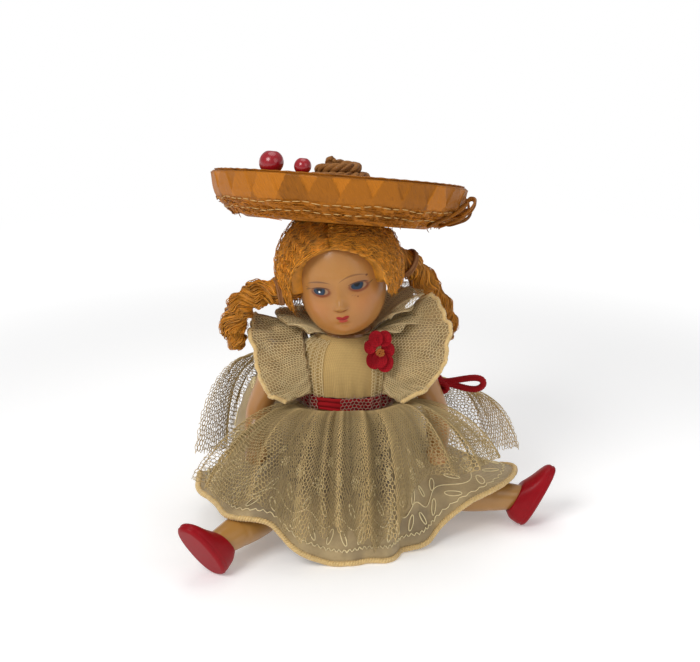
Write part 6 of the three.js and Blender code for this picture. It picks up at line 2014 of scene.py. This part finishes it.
class DOLL_OT_skirt(PieceOperator):
    """Sews the embroidered organza underskirt with its corded hem"""

    bl_idname = "doll.skirt"
    bl_label = "Underskirt"

    def build(self, looks):
        columns, rows = 420, 44
        azimuth = (np.arange(columns) / columns * 2 - 1) * math.pi
        azimuth, share = np.meshgrid(azimuth, np.linspace(0, 1, rows))
        degrees = np.degrees(azimuth)
        # Painted shadow of the net over the front of the underskirt, lighter where the organza has no net over it
        shaded = np.clip((70 - np.abs(degrees)) / 24, 0, 1) * np.clip((0.8 - share) / 0.12, 0, 1)
        bare = np.exp(-(((degrees - 56) / 18) ** 2)) * np.clip((share - 0.35) / 0.2, 0, 1)
        shade = np.clip(shaded - 0.6 * bare, 0, 1).ravel()
        values = {"tone": np.concatenate([shade, shade])}
        cloth = shell(self.place(azimuth, share), ORGANZA, True)
        skirt = closed_piece("underskirt_look", *cloth, organza_material(looks), values)
        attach(skirt, "torso")
        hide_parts("underskirt")
        hem = self.hem(looks)
        scrolls = self.embroidery()

    def place(self, azimuth, share, stand_off=0.0):
        """A place on the underskirt with its gathers."""
        base = skirt_point(azimuth, share)
        swell = np.exp(-(((np.degrees(azimuth) + 124) / 13) ** 2)) * 4 * share * (1 - share)
        base = base + np.stack([9 * swell * np.sin(azimuth), -9 * swell * np.cos(azimuth), 11 * swell], -1)
        gather = 0.35 * np.sin(azimuth * 58 + 2 * np.sin(azimuth * 7)) * (1 - share) ** 1.5
        drift = 0.5 * np.sin(azimuth * 23 + 3 * share) * share * (1 - share)
        out = np.stack([np.sin(azimuth), -np.cos(azimuth), 0.35 + 0 * azimuth], -1)
        return base + out * (gather + drift + stand_off)[..., None]

    def hem(self, looks):
        """The gold cord whipped round the scalloped hem."""
        count = 2400
        azimuth = (np.arange(count) / count * 2 - 1) * math.pi
        route = evenly(self.place(azimuth, np.ones(count)), 1500, True)
        route[:, 2] = np.maximum(route[:, 2], 0.75)
        rise = self.place(np.radians(np.linspace(-108, -116, 200)), np.linspace(0.99, 0.3, 200), 0.2)
        cords = [twisted_cord(route, 0.76, 1.5, 5, True), twisted_cord(evenly(rise, 150), 0.5, 1.5, 5)]
        cord = plain_piece("skirt_hem_cord", *join_plain(cords), gold_material(looks))
        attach(cord, "torso")
        return cord

    def embroidery(self):
        """A vine with leaves and flowers of shiny thread in each scallop, over a zigzag border."""
        lines = []
        t = np.linspace(0, 1, 40)
        turn = 2 * math.pi * t

        def loop(azimuth, share, length, width, slant, lead=0.0):
            """Adds one leaf or petal in outline."""
            along = length * (lead + np.cos(turn))
            side = width * np.sin(turn)
            across = azimuth + along * math.cos(slant) - side * math.sin(slant)
            lines.append((across, share + along * math.sin(slant) + side * math.cos(slant)))

        for k in range(SCALLOPS):
            middle = (k + 0.5) * 2 * math.pi / SCALLOPS - math.pi
            across = middle + math.pi / SCALLOPS * (2 * t - 1)
            lines.append((across, 0.83 + 0.03 * np.sin(2 * turn)))
            lines.append((across, 0.935 + 0.018 * np.abs((t * 24) % 2 - 1)))
            for place, share, slant in EMBROIDERED_LEAVES:
                loop(middle + place, share, 0.045, 0.017, slant)
            for place, share, size in EMBROIDERED_FLOWERS:
                for petal in range(6):
                    loop(middle + place, share, size, 0.5 * size, petal * math.pi / 3, 1.3)
        azimuth = np.array([line[0] for line in lines])
        azimuth = (azimuth + math.pi) % (2 * math.pi) - math.pi
        share = np.array([line[1] for line in lines])
        points = self.place(azimuth, share, 0.28)
        edges = polyline_edges(len(lines), len(t))
        silk = silk_material("doll_embroidery_silk", linear(240, 222, 172))
        piece = thread_piece("skirt_embroidery", points.reshape(-1, 3), edges, silk, 0.17, 4)
        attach(piece, "torso")
        return piece


class DOLL_OT_net(PieceOperator):
    """Knots the two layers of net over the skirt"""

    bl_idname = "doll.net"
    bl_label = "Net"

    def build(self, looks):
        net = net_material("doll_net_thread", looks.net, True)
        self.sash_cover()
        front = ["net_front"]
        panels = [self.panel(looks, net, name, *sizes) for name, sizes in NET_PANELS.items()]
        right, middle, left, *backs = panels
        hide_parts(*front)
        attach(middle, "torso")
        for piece in backs:
            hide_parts("net_back")
            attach(piece, "torso")
        for piece, body, sign in ((right, "right_arm", -1), (left, "left_arm", 1)):
            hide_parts(*front)
            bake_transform(piece)

    def sash_cover(self):
        """Open net laid over the sash, with the red left bare at one place."""
        lilac = net_material("doll_sash_net", linear(170, 134, 116))
        height = 5.4
        points, edges, count = [], [], 0
        for start, end in ((-104, -36), (-7, 104)):
            first, last = math.radians(start), math.radians(end)
            width = (last - first) * 13.6
            flat, links = hex_lattice(width, height, 1.05)
            azimuth = first + (last - first) * np.clip(flat[:, 0] / width, 0, 1)
            level = WAIST_LEVEL - 0.6 + np.clip(flat[:, 1], 0, height) + 0.3 * np.sin(azimuth * 11)
            points.append(torso_point(azimuth, level, 2.5 + 0.3 * np.sin(azimuth * 31)))
            edges.append(links + count)
            count += len(flat)
        piece = thread_piece("sash_net", np.concatenate(points), np.concatenate(edges), lilac, 0.12)
        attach(piece, "torso")

    def place(self, azimuth, share, layer):
        """A place on one layer, gathered at the waist and folded down to the hem, and how high it is in its fold."""
        below = np.clip((share - NET_HEADING) / (1 - NET_HEADING), 0, 1)
        warped = azimuth + 0.09 * np.sin(azimuth * 5.3 + 0.7) + 0.05 * np.sin(azimuth * 11.7 + 2.1)
        phase = warped * 24 + 0.7 * layer + 2.0 * share * np.sin(azimuth * 2.3)
        azimuth = azimuth + 0.004 * np.sin(phase) * below**0.5
        level = WAIST_LEVEL + 3.9 - 4.0 * np.clip(share / NET_HEADING, 0, 1)
        join = np.clip((share / NET_HEADING - 0.75) / 0.9, 0, 1)
        join = (join * join * (3 - 2 * join))[..., None]
        base = torso_point(azimuth, level, 2.5) * (1 - join) + net_point(azimuth, below) * join
        gather = 0.45 * np.sin(azimuth * 74 + 3 * np.sin(azimuth * 9)) * (1 - share) ** 1.5
        strength = 1 + 0.3 * np.sin(azimuth * 3.1 + 1.0) + 0.25 * np.sin(azimuth * 8.3)
        crest = 0.62 - np.abs(np.sin(phase / 2)) ** 0.9
        folds = (2.9 * crest * strength + 0.9 * np.sin(phase / 2 + 0.6)) * below**0.6 * (1 - 0.3 * below)
        billow = 0.8 * np.sin(azimuth * 9 + 5 * share + 2 * layer) * below
        out = np.stack([np.sin(azimuth), -np.cos(azimuth), 0.5 + 0 * azimuth], -1)
        height = np.clip(0.5 + (0.9 * crest * strength + 0.12 * np.sin(azimuth * 74)) * below**0.4, 0, 1)
        return base + out * (gather + folds + billow + 0.3 - 0.7 * layer)[..., None], height

    def panel(self, looks, net, name, start, end, dim):
        """A panel of net between two azimuths, from the sash down, with painted shade on its under layer and painted
        light and shade over its folds.
        """
        cell = looks.net_cell / MM
        first, last = math.radians(start), math.radians(end)
        points, edges, tones, count = [], [], [], 0
        along, down = np.linspace(first, last, 900), np.linspace(0, 1, 300)
        for layer in range(NET_LAYERS):
            hem, _ = self.place(along, np.ones(len(along)), layer)
            width = lengths_along(hem)[-1]
            drop, _ = self.place(np.full(len(down), (first + last) / 2), down, layer)
            height = lengths_along(drop)[-1]
            flat, links = turned_lattice(width, height, cell, LAYER_TURNS[layer])
            flat = flat + np.random.default_rng(SEED + layer).normal(0, 0.025 * cell, flat.shape)
            azimuth = first + (last - first) * np.clip(flat[:, 0] / width, 0, 1)
            window = np.clip((44 - np.abs(np.degrees(azimuth) + 6)) / 14, 0, 1)
            ragged = 0.05 + 0.03 * np.sin(azimuth * 9 + 2) + 0.02 * np.sin(azimuth * 41)
            share = np.clip(flat[:, 1] / height, 0, 1) * (1 - window * ragged)
            bare = share < 0.95 * NET_HEADING
            places, height_in_fold = self.place(azimuth, share, layer)
            points.append(places)
            # Painted light and shade: bright on fold crests, dark in the valleys, darker still on the under layer
            tones.append(np.clip(height_in_fold - dim * layer, 0, 1))
            edges.append(links[~bare[links].any(1)] + count)
            count += len(flat)
        values = {"tone": np.concatenate(tones)}
        thread = looks.net_thread / MM
        piece = thread_piece(name, np.concatenate(points), np.concatenate(edges), net, thread, 3, values)
        return piece


class DOLL_OT_collars(PieceOperator):
    """Sews the two collar frills of organza and net with corded edges"""

    bl_idname = "doll.collars"
    bl_label = "Collars"

    def build(self, looks):
        # Thread paler than the skirt's net, lightened further as a painted highlight for the sparkle of the lace
        net = net_material("doll_collar_net", linear(224, 202, 152))
        organza = cloth_material("doll_collar_organza", linear(172, 144, 98), 2600.0, 0.00008, opacity=0.85, depth=1.0)
        for name, sign in (("left", 1), ("right", -1)):
            columns, rows = 150, 24
            across, out = np.meshgrid(np.linspace(0, 1, columns), np.linspace(0, 1, rows))
            grid = self.crumpled(name, sign, across, out)
            collar = closed_piece(f"{name}_collar_look", *shell(grid, ORGANZA), organza)
            width, height = 58, 15
            flat, edges = turned_lattice(width, height, 0.9, LAYER_TURNS[1])
            lattice = self.crumpled(name, sign, flat[:, 0] / width, flat[:, 1] / height)
            lattice = lattice + np.array([sign * 0.3, -0.4, 0.35])
            cover = thread_piece(f"{name}_collar_net", lattice, edges, net, 0.1)
            line = np.linspace(0, 1, 600)
            route = evenly(self.crumpled(name, sign, line, np.ones(len(line))), 420)
            cord = plain_piece(f"{name}_collar_cord", *twisted_cord(route, 0.6, 1.2), gold_material(looks))
            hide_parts(f"{name}_collar_frill")
            for piece in (collar, cover, cord):
                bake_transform(piece)
            self.yoke(name, sign, net)
            for tier, sizes in enumerate(NECK_RUFFLES[name]):
                self.ruffle(f"{name}_neck_ruffle_{tier + 1}", sign, net, organza, *sizes)
            self.binding(name, sign)

    def crumpled(self, name, sign, across, out):
        """A place on a collar, with the crumples of stiff old lace."""
        wave = 0.85 * np.sin(across * 37 + 2.2 * np.sin(out * 5)) * out + 0.4 * np.sin(across * 61 + out * 9)
        wave = wave + 0.55 * np.sin(out * 13 + across * 17) * out
        return frill_point(name, across, out) + wave[..., None] * np.array([sign * 0.5, -0.7, 0.5])

    def ruffle(self, name, sign, net, organza, start, span, reach, rise, backed):
        """Net over organza that stands round the neck inside a collar."""
        width, height = 0.3 * span, 3.2 + 0.72 * (reach + rise)
        flat, edges = turned_lattice(width, height, 0.95, LAYER_TURNS[0])

        def place(share, out, stand_off):
            """A place on the ruffle, along it and out from the neck."""
            azimuth = sign * np.radians(start + span * share)
            tall = 0.45 + 0.55 * np.sin(math.pi * share)
            away = 6.8 + reach * tall * out + 0.6 * np.sin(azimuth * 21) * out
            level = 57.6 + stand_off + rise * tall * np.sin(out * 1.6) + 0.6 * np.sin(azimuth * 17 + 1) * out
            return np.stack([away * np.sin(azimuth), -0.9 * away * np.cos(azimuth), level], -1)

        self.backing(f"{name}_organza", organza, place, backed)
        lattice = place(flat[:, 0] / width, flat[:, 1] / height, 0.0)
        piece = thread_piece(name, lattice, edges, net, 0.11)
        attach(piece, "torso")

    def backing(self, name, organza, place, backed):
        """Organza sewn behind the lower part of a ruffle."""
        share, out = np.meshgrid(np.linspace(0.02, 0.98, 70), np.linspace(0, backed, 16))
        grid = place(share, out, -0.35)
        piece = closed_piece(name, *shell(grid, 0.12), organza)
        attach(piece, "torso")

    def yoke(self, name, sign, net):
        """Net between a collar and the bodice front."""
        width, height = 11.8, 16.5
        flat, edges = turned_lattice(width, height, 0.95, LAYER_TURNS[2])
        azimuth = sign * np.radians(26 + 44 * np.clip(flat[:, 0] / width, 0, 1))
        level = 41.4 + 16.2 * np.clip(flat[:, 1] / height, 0, 1)
        lattice = torso_point(azimuth, level, 2.2 + 0.35 * np.sin(azimuth * 40))
        piece = thread_piece(f"{name}_yoke_net", lattice, edges, net, 0.11)
        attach(piece, "torso")

    def binding(self, name, sign):
        """The dark cord that binds the sleeve round the arm."""
        rows = np.array(ARM_ROWS)
        rows[:, 0] *= sign
        centre, ahead = spline(rows[:, :3], np.array([0.31, 0.33]))
        along = unit(ahead - centre)
        first, second = ring_axes(along)
        turn = even_angles(140)
        ring = centre + 4.5 * (np.outer(np.cos(turn), first) + np.outer(np.sin(turn), second))
        navy = bpy.data.materials["doll_navy_cotton"]
        piece = plain_piece(f"{name}_sleeve_binding", *twisted_cord(ring, 0.55, 1.6, closed=True), navy)
        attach(piece, f"{name}_arm")


class DOLL_OT_bow(PieceOperator):
    """Ties the bow of red cord at the side of the sash"""

    bl_idname = "doll.bow"
    bl_label = "Bow"

    def build(self, looks):
        red = ribbon_material(looks)
        t = np.linspace(0, 1, 120)
        swing = np.sin(math.pi * t)
        for name, length, dip, turn, node in BOW_LOOPS:
            axes = turn_matrix((0, 0, math.radians(turn))) @ turn_matrix((0, math.radians(dip), 0))
            parts = []
            for strand in range(3):
                reach = 2.0 + (0.62 * length - 2.0 - 0.8 * strand) * swing**0.7
                rise = (1.3 + 0.5 * strand) * np.sin(2 * math.pi * t)
                route = np.column_stack([reach, (strand - 1) * 1.3 * swing, rise])
                parts.append(twisted_cord(evenly(route, 160), 0.75, 2.2, 7, strands=3))
            reach = 0.52 * length + 0.5 * length * swing**0.9
            rise = 1.0 + 1.9 * np.sin(2 * math.pi * t) * swing**0.5 + 2.2 * swing
            leaf = np.column_stack([reach, 0.4 * np.cos(5 * t), rise])
            parts.append(twisted_cord(evenly(leaf, 200), 0.85, 1.9, 7, strands=3))
            points, faces = join_plain(parts)
            piece = plain_piece(name, points @ axes.T + BOW_CENTRE, faces, red)
            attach(piece, "torso")
            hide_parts(node)
        parts = []
        turn = even_angles(60)
        for k in range(4):
            aside = 0.9 * (k - 1.5) + 0.2 * np.sin(turn * 2)
            route = BOW_CENTRE + np.column_stack([aside, 2.0 * np.cos(turn), 1.5 * np.sin(turn)])
            parts.append(tubes(route[None], 0.6, 8, closed=True))
        knot = plain_piece("bow_knot_look", *join_plain(parts), red)
        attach(knot, "torso")
        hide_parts("bow_knot")


class DOLL_OT_corsage(PieceOperator):
    """Shapes the red felt flower on the bodice"""

    bl_idname = "doll.corsage"
    bl_label = "Corsage"

    def build(self, looks):
        felt = cloth_material("doll_petal_felt", looks.petal, 2200.0, 0.0002, sheen=0.0, depth=0.8)
        parts = []
        columns, rows = 40, 16
        for k, (angle, reach, size, lift) in enumerate(FLOWER_PETALS):
            angle = math.radians(angle)
            lon, radius = np.meshgrid(even_angles(columns), np.linspace(0.02, 1, rows))
            x = reach * 0.8 * math.cos(angle) + size * 0.86 * radius * np.cos(lon)
            z = reach * math.sin(angle) + size * radius * np.sin(lon)
            cup = 0.75 * radius**2 + 0.12 * np.sin(lon * 3 + k) * radius
            top = np.stack([x, -0.35 - lift - cup, z], -1)
            under = np.stack([x, 0.35 - lift - cup, z], -1)[::-1]
            ring = np.concatenate([top, under])
            caps = [np.arange(columns)[None], ((2 * rows - 1) * columns + np.arange(columns))[None, ::-1]]
            parts.append((ring.reshape(-1, 3) + FLOWER_CENTRE, [grid_faces(2 * rows, columns, True), *caps]))
        flower = closed_piece("flower_look", *join_plain(parts), felt)
        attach(flower, "torso")
        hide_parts("flower_petals")
        random = np.random.default_rng(SEED + 9)
        centre = FLOWER_CENTRE + np.array([0.0, -1.75, 0.1])
        parts = []
        for k in range(STAMENS):
            angle, away = k * GOLDEN_ANGLE, 0.2 * math.sqrt(k)
            base = centre + np.array([away * math.cos(angle), 0.5, away * math.sin(angle)])
            tip = base + np.array([0.25 * math.cos(angle), -1.0 - 0.3 * random.random(), 0.25 * math.sin(angle)])
            route = base + (tip - base) * np.linspace(0, 1, 6)[:, None]
            parts.append(tubes(route[None], STAMEN_RADII[None], 6))
        yellow = plain_material("doll_flower_eye", linear(168, 92, 24), 0.7, depth=0.8)
        eye = closed_piece("flower_eye_look", *join_plain(parts), yellow)
        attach(eye, "torso")
        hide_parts("flower_eye")


class DOLL_OT_inside(PieceOperator):
    """Gives the hidden shells, elastic and pins their finish"""

    bl_idname = "doll.inside"
    bl_label = "Inside Parts"

    def build(self, looks):
        body = plain_material("doll_torso_celluloid", looks.skin, 0.4, scale=90.0, depth=0.35, coat=0.3)
        elastic = plain_material("doll_elastic", linear(214, 202, 176), 0.85, scale=900.0, depth=0.6, relief=0.0001)
        steel = plain_material("doll_steel", linear(150, 148, 142), 0.35, scale=300.0, depth=0.3, metallic=1.0)
        finishes = {
            "torso_front_shell": body,
            "torso_back_shell": body,
            "arm_elastic": elastic,
            "leg_elastic": elastic,
            "neck_elastic": elastic,
            "left_hip_pin": steel,
            "right_hip_pin": steel,
        }
        for node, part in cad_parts.items():
            part.data.materials.clear()
            part.data.materials.append(finishes.get(node, body))


class DOLL_PT_panel(bpy.types.Panel):
    """Lists the steps that build the doll"""

    bl_idname = "DOLL_PT_panel"
    bl_label = "Celluloid Doll"
    bl_space_type = "VIEW_3D"
    bl_region_type = "UI"
    bl_category = "Doll"

    def draw(self, context):
        """Draws the settings and one button for each step."""
        looks = context.scene.doll_looks
        for key in DollLooks.__annotations__:
            self.layout.prop(looks, key)
        for step in STEPS:
            self.layout.operator(step.bl_idname)


STEPS = (
    DOLL_OT_stage,
    DOLL_OT_inside,
    DOLL_OT_head,
    DOLL_OT_limbs,
    DOLL_OT_hair,
    DOLL_OT_hat,
    DOLL_OT_bodice,
    DOLL_OT_skirt,
    DOLL_OT_net,
    DOLL_OT_collars,
    DOLL_OT_bow,
    DOLL_OT_corsage,
)
CLASSES = (DollLooks, *STEPS, DOLL_PT_panel)


def register():
    """Adds the settings, steps and panel."""
    for item in CLASSES:
        bpy.utils.register_class(item)
    bpy.types.Scene.doll_looks = bpy.props.PointerProperty(type=DollLooks)


def unregister():
    """Takes the settings, steps and panel away."""
    del bpy.types.Scene.doll_looks
    for item in reversed(CLASSES):
        bpy.utils.unregister_class(item)


def main():
    """Builds the doll step by step."""
    register()
    add_shared_groups()
    add_thread_tree()
    add_stitch_tree()
    for step in STEPS:
        family, action = step.bl_idname.split(".")
        getattr(getattr(bpy.ops, family), action)()


if __name__ == "__main__":
    main()
